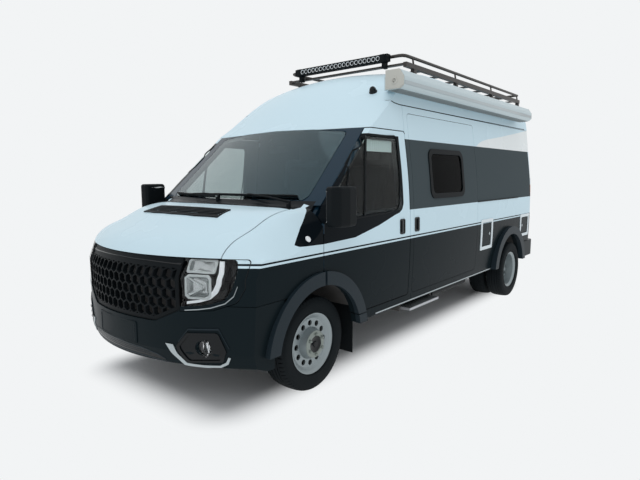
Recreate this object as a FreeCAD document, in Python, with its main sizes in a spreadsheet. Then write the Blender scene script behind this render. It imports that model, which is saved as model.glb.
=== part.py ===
import FreeCAD, Part
import math
import os
import Sketcher
from FreeCAD import Placement, Rotation, Vector

# Camper van, high roof, twin rear wheels. Millimetres.
# +Z is up, the front faces -Y and the van's left side is +X.
# The origin is on the ground below the middle of the van.

doc = FreeCAD.newDocument("camper_van")
sheet = doc.addObject("Spreadsheet::Sheet", "sizes")

DIMENSIONS = [
    ("overall_length", 5740, "front bumper to rear bumper"),
    ("front_overhang", 990, "front bumper to front axle"),
    ("wheelbase", 3750, "front axle to rear axle"),
    ("half_width", 1000, "centre plane to the widest part of the side"),
    ("sill_height", 423, "ground to the lower edge of the sides"),
    ("belt_height", 1251, "lower edge of the window band"),
    ("band_top", 1858, "upper edge of the window band"),
    ("gutter_height", 2146, "joint of the sides and the roof cap"),
    ("roof_height", 2560, "top of the roof cap"),
    ("side_wall", 50, "thickness of a side, door or roof"),
    ("front_wall", 26, "thickness of the wings and the bonnet"),
    ("glass", 6, "thickness of each pane"),
    ("pane_gap", 4, "clearance round each pane"),
    ("seam", 8, "gap round each door and lid"),
    ("fixed_seam", 4, "gap between fixed panels"),
    ("seat_gap", 0.3, "clearance of a piece on its curved seat"),
    ("tyre_radius", 347, "outside radius of each tyre"),
    ("tyre_width", 198, "width of each tyre"),
    ("rim_radius", 222, "outside radius of each rim's lip"),
    ("rim_width", 168, "width of each rim over its lips"),
    ("front_track", 1620, "between the middles of the front tyres"),
    ("rear_track", 1640, "between the middles of the twin pairs"),
    ("twin_spacing", 232, "between the two tyres of a pair"),
    ("arch_radius", 452, "radius of the front wheel arch opening"),
    ("rear_arch_radius", 462, "radius of the rear wheel arch opening"),
    ("flare_width", 88, "width of the arch flares in side view"),
    ("floor_height", 600, "top of the floor"),
    ("floor_thickness", 40, "thickness of the floor"),
    ("rail_half_gap", 410, "centre plane to the middle of a chassis rail"),
    ("rail_height", 120, "height of a chassis rail"),
    ("rail_width", 60, "width of a chassis rail"),
    ("engine_length", 620, "length of the engine block"),
    ("engine_width", 520, "width of the engine block"),
    ("engine_height", 560, "height of the engine block"),
    ("steering_wheel_radius", 195, "outside radius of the steering wheel"),
    ("awning_length", 3250, "length of the awning's case"),
    ("rack_length", 3180, "length of the roof rack"),
    ("light_bar_length", 1144, "length of the light bar"),
    ("step_length", 560, "length of the entry step"),
    ("step_travel", 220, "how far the entry step slides out"),
    ("grille_cell", 62, "distance across the flats of a grille cell"),
    ("grille_web", 9, "thickness of the grille's webs"),
]

for row, (alias, value, note) in enumerate(DIMENSIONS, 1):
    sheet.set(f"A{row}", alias)
    sheet.set(f"B{row}", str(value))
    sheet.setAlias(f"B{row}", alias)
    sheet.set(f"C{row}", note)
doc.recompute()


def size(alias):
    return float(getattr(sheet, alias))


half_width = size("half_width")
front_face = -size("overall_length") / 2
rear_face = size("overall_length") / 2
front_axle = front_face + size("front_overhang")
rear_axle = front_axle + size("wheelbase")
axle_height = size("tyre_radius")
gutter = size("gutter_height")
sill = size("sill_height")
wall = size("side_wall")
nose_wall = size("front_wall")
glass = size("glass")
seam = size("seam")
fixed_seam = size("fixed_seam")
seat_gap = size("seat_gap")
floor_top = size("floor_height")
floor_bottom = floor_top - size("floor_thickness")

PROBE_CELL = "F1"

# Reach of a tool solid that has to pass right through the van
BEYOND = 4000.0


def publish(name, shape, place=None):
    """One named piece of the van."""
    piece = doc.addObject("Part::Feature", name)
    piece.Label = name
    piece.Shape = shape
    if place:
        piece.Placement = place
    return piece


def joined(shapes):
    """One solid out of pieces that touch, or a compound of those that don't."""
    first = shapes[0]
    if len(shapes) == 1:
        return first
    return first.fuse(shapes[1:]).removeSplitter()


def together(shapes):
    """Pieces of one node that don't touch each other."""
    return Part.Compound([solid for shape in shapes for solid in shape.Solids])


def mirrored(shape):
    return shape.mirror(Vector(0, 0, 0), Vector(1, 0, 0))


def box(x_range, y_range, z_range):
    low = Vector(x_range[0], y_range[0], z_range[0])
    return Part.makeBox(x_range[1] - x_range[0], y_range[1] - y_range[0], z_range[1] - z_range[0], low)


def rod(start, end, radius):
    """A round bar between two points."""
    along = Vector(*end) - Vector(*start)
    return Part.makeCylinder(radius, along.Length, Vector(*start), along)


def lift(point, axis, depth):
    """A flat outline's point in space. Side outlines hold (y, z), end ones (x, z), plans (x, y)."""
    first, second = point
    if axis == "x":
        return Vector(depth, first, second)
    if axis == "y":
        return Vector(first, depth, second)
    return Vector(first, second, depth)


def outline(points, axis, depth, radius=0.0):
    """A closed wire whose corners are rounded by arcs of one radius, or one radius each."""
    count = len(points)
    radii = radius if isinstance(radius, (list, tuple)) else [radius] * count
    flat = [Vector(x, y, 0) for x, y in points]
    edges = []
    starts = []
    ends = []
    for index, corner in enumerate(flat):
        before = (flat[index - 1] - corner)
        after = (flat[(index + 1) % count] - corner)
        turn = before.getAngle(after)
        reach = 0.0
        if radii[index] > 0:
            reach = radii[index] / math.tan(turn / 2)
            reach = min(reach, 0.49 * before.Length, 0.49 * after.Length)
        before.normalize()
        after.normalize()
        starts.append(corner + before * reach)
        ends.append(corner + after * reach)
        if reach > 0:
            inner = corner + (before + after).normalize() * (reach / math.cos(turn / 2))
            bend = reach * math.tan(turn / 2)
            middle = inner + (corner - inner).normalize() * bend
            trio = [lift((p.x, p.y), axis, depth) for p in (starts[-1], middle, ends[-1])]
            edges.append(Part.Arc(*trio).toShape())
    lines = []
    for index in range(count):
        start = lift((ends[index].x, ends[index].y), axis, depth)
        follower = starts[(index + 1) % count]
        end = lift((follower.x, follower.y), axis, depth)
        if (end - start).Length > 1e-6:
            lines.append(Part.LineSegment(start, end).toShape())
    return Part.Wire(Part.__sortEdges__(edges + lines))


def plate(points, axis, low, high, radius=0.0):
    """A flat outline made solid from low to high along one axis."""
    face = Part.Face(outline(points, axis, low, radius))
    direction = {"x": Vector(1, 0, 0), "y": Vector(0, 1, 0), "z": Vector(0, 0, 1)}[axis]
    return face.extrude(direction * (high - low))


def disc(centre_y, centre_z, radius, low, high):
    """A cylinder across the van."""
    return Part.makeCylinder(radius, high - low, Vector(low, centre_y, centre_z), Vector(1, 0, 0))


def inset(points, depth):
    """An open run of points moved inwards by depth, with mitred corners."""
    if depth == 0:
        return list(points)
    moved = []
    for index, (x, y) in enumerate(points):
        normals = []
        for start, end in ((index - 1, index), (index, index + 1)):
            if start < 0 or end >= len(points):
                continue
            run = (points[end][0] - points[start][0], points[end][1] - points[start][1])
            length = math.hypot(*run)
            normals.append((run[1] / length, -run[0] / length))
        if len(normals) == 1:
            normals.append(normals[0])
        (ax, ay), (bx, by) = normals
        scale = depth / (1 + ax * bx + ay * by)
        moved.append((x + scale * (ax + bx), y + scale * (ay + by)))
    return moved


def make_body(name):
    body = doc.addObject("PartDesign::Body", name)
    body.Label = name
    return body


def origin_plane(body, role):
    return next(feature for feature in body.Origin.OriginFeatures if feature.Role == role)


def evaluated(text):
    """The present value of a formula on the sheet."""
    sheet.set(PROBE_CELL, f"={text.replace('sizes.', '')}")
    sheet.recompute()
    return float(sheet.get(PROBE_CELL))


def bound_sketch(body, name, role, corners):
    """A closed sketch whose corners are formulas on the sheet, as (across, up)."""
    sketch = body.newObject("Sketcher::SketchObject", name)
    sketch.AttachmentSupport = [(origin_plane(body, role), "")]
    sketch.MapMode = "FlatFace"
    values = [tuple(evaluated(text) for text in corner) for corner in corners]
    count = len(values)
    for index in range(count):
        start = Vector(*values[index], 0)
        end = Vector(*values[(index + 1) % count], 0)
        sketch.addGeometry(Part.LineSegment(start, end), False)
    for index in range(count):
        sketch.addConstraint(Sketcher.Constraint("Coincident", index, 2, (index + 1) % count, 1))
    for index, corner in enumerate(corners):
        for kind, text, value in zip(("DistanceX", "DistanceY"), corner, values[index]):
            place = sketch.addConstraint(Sketcher.Constraint(kind, -1, 1, index, 1, value))
            sketch.setExpression(f"Constraints[{place}]", text)
    return sketch


def revolve(body, sketch, name):
    turned = body.newObject("PartDesign::Revolution", name)
    turned.Profile = sketch
    turned.ReferenceAxis = (sketch, ["H_Axis"])
    turned.Angle = 360
    doc.recompute()
    return turned


def bound_box(name, lengths, corner):
    """A Part::Box whose lengths and corner are formulas on the sheet."""
    block = doc.addObject("Part::Box", name)
    block.Label = name
    for prop, text in zip(("Length", "Width", "Height"), lengths):
        block.setExpression(prop, text)
    for prop, text in zip(("x", "y", "z"), corner):
        block.setExpression(f"Placement.Base.{prop}", text)
    return block


# The body's form: the side profile on the centre plane, bowed in plan and crowned across
# Each row: distance behind the front bumper, height, backward bow and drop at half_width,
# then the drop and the forward tuck of the outermost quarter
PROFILE_FACE = [
    (120, 330, 345, 0, 0, 0),
    (22, 372, 345, 0, 0, 0),
    (0, 460, 345, 0, 0, 0),
    (0, 930, 345, 0, 0, 0),
]
PROFILE_BONNET = [
    (56, 1062, 345, 0, 30, 0),
    (88, 1100, 345, 0, 60, 0),
    (150, 1145, 345, 0, 110, 0),
    (300, 1205, 340, 0, 170, 0),
    (460, 1274, 320, 0, 200, 0),
    (600, 1308, 290, 0, 190, 0),
    (760, 1322, 220, 0, 130, 0),
    (880, 1328, 150, 0, 60, 0),
]
PROFILE_SCREEN = [
    (910, 1344, 145, 0, 0, 0),
    (1572, 1940, 145, 0, 0, 0),
]
PROFILE_ROOF = [
    (1800, 2108, 145, 15, 0, 0),
    (2075, 2322, 145, 40, 0, 0),
    (2290, 2460, 145, 75, 0, 0),
    (2560, 2540, 100, 100, 0, 0),
    (3200, size("roof_height"), 40, 105, 0, 0),
    (4300, size("roof_height") - 6, 0, 105, 0, 0),
    (5200, size("roof_height") - 30, -40, 105, 0, 0),
    (5480, size("roof_height") - 52, -60, 105, 0, -40),
    (5590, size("roof_height") - 110, -70, 90, 0, -60),
]
PROFILE_REAR = [
    (5655, 2250, -60, 0, 0, -90),
    (5690, 1300, -60, 0, 0, -90),
    (5690, 330, -60, 0, 0, -90),
]
SHOULDER_START = 0.76
REAR_INSET = 48
REAR_CORNER = 80
STATION_SHARES = [0.0, 0.26, 0.52, 0.74, 0.84, 0.91, 0.96, 1.0, 1.04]

# Half of the body's section: centre plane distance and height
SECTION_SIDE = [
    (half_width - 20, 300),
    (half_width - 16, 500),
    (half_width - 2, 800),
    (half_width, 1000),
    (half_width - 6, size("belt_height")),
    (half_width - 30, 1560),
    (half_width - 70, size("band_top")),
    (half_width - 106, gutter),
]
SECTION_CAP = [
    (half_width - 122, gutter + 90),
    (half_width - 148, gutter + 190),
    (half_width - 184, gutter + 280),
    (half_width - 236, gutter + 350),
    (half_width - 330, gutter + 420),
    (half_width - 480, gutter + 500),
]


def station(x, rows, points):
    """The profile's points at one distance from the centre plane."""
    share = abs(x) / half_width
    past = max(0.0, (share - SHOULDER_START) / (1 - SHOULDER_START))
    moved = []
    for (_, _, bow, crown, shoulder, tuck), (y, z) in zip(rows, points):
        drop = crown * share**2 + shoulder * past**2
        moved.append(Vector(x, y + bow * share**2 + tuck * past**2, z - drop))
    return moved


def smooth(points):
    curve = Part.BSplineCurve()
    curve.interpolate(points)
    return curve.toShape()


def straight(start, end):
    return Part.LineSegment(start, end).toShape()


forms = {}


def form(depth):
    """The body's outer form moved inwards by depth, made once for each depth."""
    if depth not in forms:
        forms[depth] = lofted_form(depth)
    return forms[depth]


def lofted_form(depth):
    """The form at one depth, open below where it is inset."""
    rows = PROFILE_FACE + PROFILE_BONNET + PROFILE_SCREEN + PROFILE_ROOF + PROFILE_REAR
    flat = inset([(front_face + row[0], row[1]) for row in rows], depth)
    below = rows[0][1] - (200 if depth else 0)
    flat[0] = (flat[0][0], below)
    flat[-1] = (flat[-1][0], below)
    face_end = len(PROFILE_FACE)
    bonnet_end = face_end + len(PROFILE_BONNET)
    screen_end = bonnet_end + len(PROFILE_SCREEN)
    roof_end = screen_end + len(PROFILE_ROOF)
    wires = []
    shares = [-share for share in reversed(STATION_SHARES[1:])] + STATION_SHARES
    for share in shares:
        at = station(share * half_width, rows, flat)
        edges = [straight(at[index], at[index + 1]) for index in range(face_end)]
        edges.append(smooth(at[face_end:bonnet_end]))
        edges.append(straight(at[bonnet_end - 1], at[bonnet_end]))
        edges.append(straight(at[bonnet_end], at[screen_end - 1]))
        edges.append(smooth(at[screen_end - 1:roof_end]))
        for index in range(roof_end - 1, len(at) - 1):
            edges.append(straight(at[index], at[index + 1]))
        edges.append(straight(at[-1], at[0]))
        wires.append(Part.Wire(edges))
    lofted = Part.makeLoft(wires, True, False)
    return lofted.common(section(depth))


def section(depth):
    """The body's cross-section, inset by depth, as a solid along the whole van."""
    half = [(x, z) for x, z in SECTION_SIDE + SECTION_CAP]
    moved = inset(half, -depth)
    joint = len(SECTION_SIDE)
    right = [Vector(x, front_face - 200, z) for x, z in moved]
    left = [Vector(-x, front_face - 200, z) for x, z in moved]
    edges = [
        smooth(right[:joint]),
        smooth(right[joint - 1:]),
        straight(right[-1], left[-1]),
        smooth(list(reversed(left[joint - 1:]))),
        smooth(list(reversed(left[:joint]))),
        straight(left[0], right[0]),
    ]
    face = Part.Face(Part.Wire(edges))
    long_body = face.extrude(Vector(0, size("overall_length") + 400, 0))
    edge = half_width + 2 - depth
    end = rear_face - REAR_INSET - depth
    corner = max(REAR_CORNER - depth, 8)
    plan = plate(
        [(edge, -BEYOND), (edge, end), (-edge, end), (-edge, -BEYOND)],
        "z", 0, BEYOND, [0, corner, corner, 0],
    )
    return long_body.common(plan)


def along(distance):
    """A station given as its distance behind the front axle."""
    return front_axle + distance


def side_outline(points):
    """A side outline whose first value is the distance behind the front axle."""
    return [(along(y), z) for y, z in points]


outer = form(0)
pane_form = form(glass)
rebate_form = form(glass + seat_gap)
wall_form = form(wall)
nose_form = form(nose_wall)
shell = outer.cut(wall_form)
nose_shell = outer.cut(nose_form)
side_skin = outer.cut(section(wall))
pane_skin = outer.cut(pane_form)
rebate_skin = outer.cut(rebate_form)
side_pane_skin = outer.cut(section(glass))
side_rebate_skin = outer.cut(section(glass + seat_gap))
fitted_form = form(wall + seat_gap)
fitted_nose = form(nose_wall + seat_gap)

front_arch_centre = along(-28)
front_arch = disc(front_arch_centre, axle_height + 3, size("arch_radius"), -BEYOND, BEYOND)
rear_arch = disc(rear_axle, axle_height, size("rear_arch_radius"), -BEYOND, BEYOND)
arches = [front_arch, rear_arch]
below_sill = box((-BEYOND, BEYOND), (-BEYOND, BEYOND), (-BEYOND, sill))

# Side outlines: distance behind the front axle and height
CAB_DOOR_REAR = 1197
SLIDING_DOOR_FRONT = 1268
SLIDING_DOOR_REAR = 2700
DOOR_LOW = 500
door_line = side_outline([
    (0, DOOR_LOW), (0, 1440), (34, 1480), (470, 1888), (530, 1918), (CAB_DOOR_REAR, 1918), (CAB_DOOR_REAR, DOOR_LOW),
])
door_window = side_outline([
    (112, 1232), (120, 1420), (560, 1850), (1052, 1850), (1066, 1262), (640, 1258),
])
sliding_line = side_outline([
    (SLIDING_DOOR_FRONT, 500), (SLIDING_DOOR_FRONT, 2080),
    (SLIDING_DOOR_REAR, 2080), (SLIDING_DOOR_REAR, 500),
])
band_window = side_outline([(1620, 1360), (1620, 1760), (2316, 1760), (2316, 1360)])
hatch_lines = [
    side_outline([(2850, 742), (2850, 1000), (3110, 1000), (3110, 742)]),
    side_outline([(4195, 770), (4195, 975), (4455, 975), (4455, 770)]),
]
FIREWALL_FRONT = 96
FIREWALL_REAR = 120
BEHIND_REAR_ARCH = rear_axle + 470
BUMPER_TOP = 765
REAR_BUMPER_TOP = 640


def grown(points, amount):
    """A closed outline moved outwards by amount, or inwards if it is negative."""
    moved = outline(points, "x", 0).makeOffset2D(amount, 2)
    return [(vertex.Point.y, vertex.Point.z) for vertex in moved.OrderedVertexes]


def side_prism(points, radius=0.0, amount=0.0):
    """A tool across the left side with the given side outline."""
    shape = grown(points, amount) if amount else points
    return plate(shape, "x", half_width * 0.7, half_width * 1.2, radius)


def end_prism(points, y_range, radius=0.0, amount=0.0):
    """A tool along the van with the given end outline."""
    shape = points
    if amount:
        moved = outline(points, "y", 0).makeOffset2D(amount, 2)
        shape = [(vertex.Point.x, vertex.Point.z) for vertex in moved.OrderedVertexes]
    return plate(shape, "y", y_range[0], y_range[1], radius)


# Hinges: a fixed pin on the joint's axis, in a knuckle bored round it
PIN_RADIUS = 4
PIN_LENGTH = 70
pin_gap = size("seat_gap")


def upright_pin(x, y, z, radius=PIN_RADIUS):
    """A vertical hinge pin whose middle is at z."""
    return Part.makeCylinder(radius, PIN_LENGTH, Vector(x, y, z - PIN_LENGTH / 2))


def pin_bore(x, y, z, radius=PIN_RADIUS):
    height = PIN_LENGTH + 2 * seam
    return Part.makeCylinder(radius + pin_gap, height, Vector(x, y, z - height / 2))


LEAF_LENGTH = 62
LEAF_START = 6


def edge_hinge(x, y, z, fixed_side):
    """A pin on a narrow neck, with a leaf that runs inboard through the seam on the fixed side."""
    low = z - PIN_LENGTH / 2
    high = z + PIN_LENGTH / 2
    leaf_plan = [(-LEAF_LENGTH, PIN_RADIUS - 1), (-LEAF_START, PIN_RADIUS - 1),
                 (-LEAF_START, seam + 2), (-LEAF_LENGTH, seam + 2)]
    neck_plan = [(-2.5, 1.7), (-6.6, 4.45), (-6.6, 7.0), (-1.7, 2.5)]
    pieces = [upright_pin(x, y, z)]
    for plan in (leaf_plan, neck_plan):
        pieces.append(plate([(x + across, y + fixed_side * back) for across, back in plan], "z", low, high))
    return joined(pieces)


DOOR_HINGE_X = half_width - 5
DOOR_HINGE_Y = along(2)
DOOR_HINGE_HEIGHTS = (945, 1185)
HATCH_HINGE_X = half_width - 5
hatch_axes = [hatch_lines[0][0][0] + 2, hatch_lines[1][3][0] - 2]
hatch_hinge_height = [0.5 * (hatch[0][1] + hatch[1][1]) for hatch in hatch_lines]
hatch_hinges = [
    edge_hinge(HATCH_HINGE_X, y, z, side) for y, z, side in zip(hatch_axes, hatch_hinge_height, (-1, 1))
]

# Windscreen
SCREEN_LOW = 1372
SCREEN_HIGH = 1935
SCREEN_REACH = (along(-400), along(900))
screen_line = [
    (-800, SCREEN_LOW), (800, SCREEN_LOW), (744, SCREEN_HIGH - 40), (420, SCREEN_HIGH - 10),
    (0, SCREEN_HIGH), (-420, SCREEN_HIGH - 10), (-744, SCREEN_HIGH - 40),
]
screen_radii = [50, 50, 50, 0, 0, 0, 50]
publish("windscreen", pane_skin.common(end_prism(screen_line, SCREEN_REACH, screen_radii)))
screen_opening = joined([
    end_prism(screen_line, SCREEN_REACH, 40, -26),
    end_prism(screen_line, SCREEN_REACH, 40, size("pane_gap")).common(rebate_skin),
])

# Rear doors
REAR_DOOR_LOW = 650
REAR_DOOR_HIGH = 2092
REAR_DOOR_HALF = half_width - 84
REAR_REACH = (rear_face - 400, rear_face + 200)


def rear_outline(inner_x, outer_x):
    top_lean = 42
    return [
        (inner_x, REAR_DOOR_LOW), (inner_x, REAR_DOOR_HIGH),
        (outer_x - top_lean, REAR_DOOR_HIGH), (outer_x, 1300), (outer_x, REAR_DOOR_LOW),
    ]


rear_opening = joined([
    end_prism(rear_outline(-10, REAR_DOOR_HALF), REAR_REACH, [0, 0, 40, 0, 40], 0),
    mirrored(end_prism(rear_outline(-10, REAR_DOOR_HALF), REAR_REACH, [0, 0, 40, 0, 40], 0)),
])

# Rear door hinges: a knuckle on the door between two lugs on the side, round a fixed pin
REAR_HINGE_X = REAR_DOOR_HALF - seam / 2
REAR_HINGE_Y = rear_face - 126
REAR_HINGE_HEIGHTS = (820, 1180)
KNUCKLE_RADIUS = 10
KNUCKLE_HALF = 30
LUG_LENGTH = 14
LUG_GAP = 1
lug_plan = [
    (REAR_HINGE_X, REAR_HINGE_Y + 9), (REAR_HINGE_X + 9, REAR_HINGE_Y + 7),
    (REAR_HINGE_X + 30, REAR_HINGE_Y - 30), (REAR_HINGE_X + 6, REAR_HINGE_Y - 30),
]
strap_plan = [
    (REAR_HINGE_X, REAR_HINGE_Y + 9.5), (REAR_HINGE_X - 30, REAR_HINGE_Y + 10),
    (REAR_HINGE_X - 30, REAR_HINGE_Y - 10), (REAR_HINGE_X - 6, REAR_HINGE_Y - 14),
]
rear_lugs = []
rear_knuckles = []
rear_clearances = []
for hinge_z in REAR_HINGE_HEIGHTS:
    axis_foot = Vector(REAR_HINGE_X, REAR_HINGE_Y, 0)
    lug_low = KNUCKLE_HALF + LUG_GAP
    for low in (hinge_z + lug_low, hinge_z - lug_low - LUG_LENGTH):
        rear_lugs.append(Part.makeCylinder(KNUCKLE_RADIUS, LUG_LENGTH, axis_foot + Vector(0, 0, low)))
        rear_lugs.append(plate(lug_plan, "z", low, low + LUG_LENGTH))
    span = 2 * (lug_low + LUG_LENGTH)
    rear_lugs.append(Part.makeCylinder(PIN_RADIUS, span, axis_foot + Vector(0, 0, hinge_z - span / 2)))
    knuckle_foot = axis_foot + Vector(0, 0, hinge_z - KNUCKLE_HALF)
    rear_knuckles.append(Part.makeCylinder(KNUCKLE_RADIUS, 2 * KNUCKLE_HALF, knuckle_foot))
    rear_knuckles.append(plate(strap_plan, "z", hinge_z - KNUCKLE_HALF, hinge_z + KNUCKLE_HALF))
    clearance_foot = axis_foot + Vector(0, 0, hinge_z - span / 2 - LUG_GAP)
    rear_clearances.append(Part.makeCylinder(KNUCKLE_RADIUS + 2, span + 2 * LUG_GAP, clearance_foot))

# Roof cap with the brow above the screen and the cab doors
ROOF_JOINT = CAB_DOOR_REAR
BROW_HEIGHT = 1926
brow_line = side_outline([
    (-200, 1700), (300, BROW_HEIGHT - 1), (ROOF_JOINT, BROW_HEIGHT), (ROOF_JOINT, gutter),
    (9000, gutter), (9000, 4000), (-200, 4000),
])
brow_tool = plate(brow_line, "x", -BEYOND, BEYOND)

# The room that a cab door takes out of the body's outer wall
door_room = side_prism(door_line, 30, seam).cut(section(wall + seam))


def roof_cap():
    cap = shell.common(brow_tool)
    cap = cap.cut([screen_opening, rear_opening, door_room, mirrored(door_room)])
    pillar_cut = plate(side_outline([(-200, 1700), (-200, 1880), (600, 1880), (600, 1700)]), "x", -BEYOND, BEYOND)
    cap = cap.cut(pillar_cut)
    return max(cap.Solids, key=lambda solid: solid.Volume)


publish("high_roof", roof_cap())


side_line = side_outline([
    (ROOF_JOINT - 40, DOOR_LOW - seam), (ROOF_JOINT - 40, BROW_HEIGHT - fixed_seam),
    (ROOF_JOINT + fixed_seam, BROW_HEIGHT - fixed_seam), (ROOF_JOINT + fixed_seam, gutter - fixed_seam),
    (9000, gutter - fixed_seam), (9000, REAR_BUMPER_TOP + fixed_seam),
    (BEHIND_REAR_ARCH - front_axle, REAR_BUMPER_TOP + fixed_seam), (BEHIND_REAR_ARCH - front_axle, 0),
    (24, 0), (24, DOOR_LOW - seam),
])
door_hinges = [edge_hinge(DOOR_HINGE_X, DOOR_HINGE_Y, z, -1) for z in DOOR_HINGE_HEIGHTS]

# The sides meet the roof cap behind a groove that stays open outside
GROOVE_DEPTH = 12
ledge_skin = form(GROOVE_DEPTH).cut(wall_form)
ledges = [
    ledge_skin.common(box((half_width * 0.75, BEYOND), (along(ROOF_JOINT + fixed_seam), BEYOND),
                          (gutter - fixed_seam, gutter))),
]


def body_side(tools, hinges):
    """One side, drawn on the left, from the cab door to the rear corner."""
    side = joined([shell.common(plate(side_line, "x", half_width * 0.75, BEYOND))] + ledges)
    side = side.cut([rear_opening, below_sill, door_room] + arches + tools)
    side = max(side.Solids, key=lambda solid: solid.Volume)
    return joined([side] + hinges)


left_tools = [side_prism(sliding_line, 40, fixed_seam)] + [side_prism(hatch, 12, seam) for hatch in hatch_lines]
publish("bodyside_left", body_side(left_tools, hatch_hinges + rear_lugs))
window_opening = [
    side_prism(band_window, 60, -22),
    side_prism(band_window, 60, size("pane_gap")).common(side_rebate_skin),
]
publish("bodyside_right", mirrored(body_side(window_opening, rear_lugs)))

sliding_door = side_skin.common(side_prism(sliding_line, 36)).cut(window_opening + arches)
publish("sliding_door", sliding_door)
window_pane = side_pane_skin.common(side_prism(band_window, 60))
publish("side_windows", together([window_pane, mirrored(window_pane)]))

# Cab doors with their glass and mirrors
door_opening = [
    side_prism(door_window, 34, -20),
    side_prism(door_window, 34, size("pane_gap")).common(side_rebate_skin),
    front_arch,
]
door = side_skin.common(side_prism(door_line, 26)).cut(door_opening)
door_pane = side_pane_skin.common(side_prism(door_window, 34))
door = door.cut([pin_bore(DOOR_HINGE_X, DOOR_HINGE_Y, z) for z in DOOR_HINGE_HEIGHTS])

MIRROR_LOW = 1205
MIRROR_HIGH = 1476


def mirror_unit():
    head_plan = [
        (half_width + 62, along(-72)), (half_width + 176, along(-92)), (half_width + 192, along(40)),
        (half_width + 186, along(128)), (half_width + 72, along(128)),
    ]
    head = plate(head_plan, "z", MIRROR_LOW, MIRROR_HIGH, [30, 60, 30, 14, 14])
    head = head.makeFillet(22, [edge for edge in head.Edges if abs(edge.BoundBox.ZLength) < 1 and edge.Length > 40])
    arm = rod((half_width - 40, along(64), 1275), (half_width + 90, along(30), 1285), 24)
    return joined([head, arm]).cut(section(0))


mirror = mirror_unit()
for side, turn in (("left", lambda shape: shape), ("right", mirrored)):
    publish(f"cab_door_{side}", turn(door))
    publish(f"cab_door_{side}_glass", turn(door_pane))
    publish(f"mirror_{side}", turn(mirror))

# Rear doors and their glass
rear_window = [(140, 1290), (140, 1800), (745, 1800), (775, 1290)]
rear_door = shell.common(end_prism(rear_outline(seam / 2, REAR_DOOR_HALF - seam), REAR_REACH, [0, 0, 34, 0, 34]))
rear_door = rear_door.cut([
    end_prism(rear_window, REAR_REACH, 50, -20),
    end_prism(rear_window, REAR_REACH, 50, size("pane_gap")).common(rebate_skin),
    box((-BEYOND, BEYOND), REAR_REACH, (REAR_DOOR_HIGH - seam, BEYOND)),
    box((-BEYOND, BEYOND), REAR_REACH, (0, REAR_DOOR_LOW + seam)),
])
rear_pane = pane_skin.common(end_prism(rear_window, REAR_REACH, 50))
rear_door = joined([rear_door.cut(rear_clearances)] + rear_knuckles)
rear_door = rear_door.cut([pin_bore(REAR_HINGE_X, REAR_HINGE_Y, z) for z in REAR_HINGE_HEIGHTS])
for side, turn in (("left", lambda shape: shape), ("right", mirrored)):
    publish(f"rear_door_{side}", turn(rear_door))
    publish(f"rear_door_{side}_glass", turn(rear_pane))

# Bonnet, scuttle and wings
BONNET_HINGE_X = 600
BONNET_HALF = 780
BONNET_REAR = front_face + 872
BONNET_LOW = 1052
bonnet = nose_shell.common(box((-BONNET_HALF, BONNET_HALF), (front_face - 50, BONNET_REAR), (BONNET_LOW, BEYOND)))
BONNET_HINGE_Y = BONNET_REAR + 3
BONNET_HINGE_Z = 1316
SCUTTLE_FRONT = BONNET_REAR + 20


def bonnet_pin(x, radius, length):
    return Part.makeCylinder(radius, length, Vector(x - length / 2, BONNET_HINGE_Y, BONNET_HINGE_Z), Vector(1, 0, 0))


hinge_spots = (-BONNET_HINGE_X, BONNET_HINGE_X)
bonnet = bonnet.cut([bonnet_pin(x, PIN_RADIUS + pin_gap, PIN_LENGTH + 2 * seam) for x in hinge_spots])
publish("bonnet", bonnet)
scuttle_zone = box((-880, 880), (SCUTTLE_FRONT, along(90)), (1230, SCREEN_LOW - size("pane_gap")))
scuttle = nose_shell.common(scuttle_zone)
scuttle = max(scuttle.Solids, key=lambda solid: solid.Volume)
bonnet_hinges = []
for x in hinge_spots:
    bracket = box((x - 30, x + 30), (BONNET_HINGE_Y + 3, SCUTTLE_FRONT + 5), (BONNET_HINGE_Z - 12, BONNET_HINGE_Z - 1))
    bonnet_hinges += [bonnet_pin(x, PIN_RADIUS, PIN_LENGTH), bracket]
publish("scuttle", joined([scuttle] + bonnet_hinges))

lamp_line = [(560, 722), (560, 1046), (944, 1046), (944, 880), (900, 790), (760, 738)]
LAMP_REACH = (front_face - 50, front_face + 470)
grille_line = [(-552, 1046), (552, 1046), (552, 726), (372, 642), (-372, 642), (-552, 726)]
lamp_depth = outer.cut(form(90))
lamp = lamp_depth.common(end_prism(lamp_line, LAMP_REACH, [8, 20, 24, 30, 60, 30]))
lamp_flange = nose_form.cut(form(90)).common(end_prism(lamp_line, LAMP_REACH, [8, 20, 24, 30, 60, 30], 12))
lamp = joined([lamp, lamp_flange])
publish("headlamps", together([lamp, mirrored(lamp)]))
lamp_opening = end_prism(lamp_line, LAMP_REACH, [8, 20, 24, 30, 60, 30], fixed_seam)

wing_zone = box((BONNET_HALF + seam, BEYOND), (front_face, along(-seam)), (BUMPER_TOP + fixed_seam, 1336))
wing = nose_shell.common(wing_zone).cut([lamp_opening, front_arch, scuttle_zone])
wing = max(wing.Solids, key=lambda solid: solid.Volume)
publish("front_wings", together([wing, mirrored(wing)]))

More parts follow.
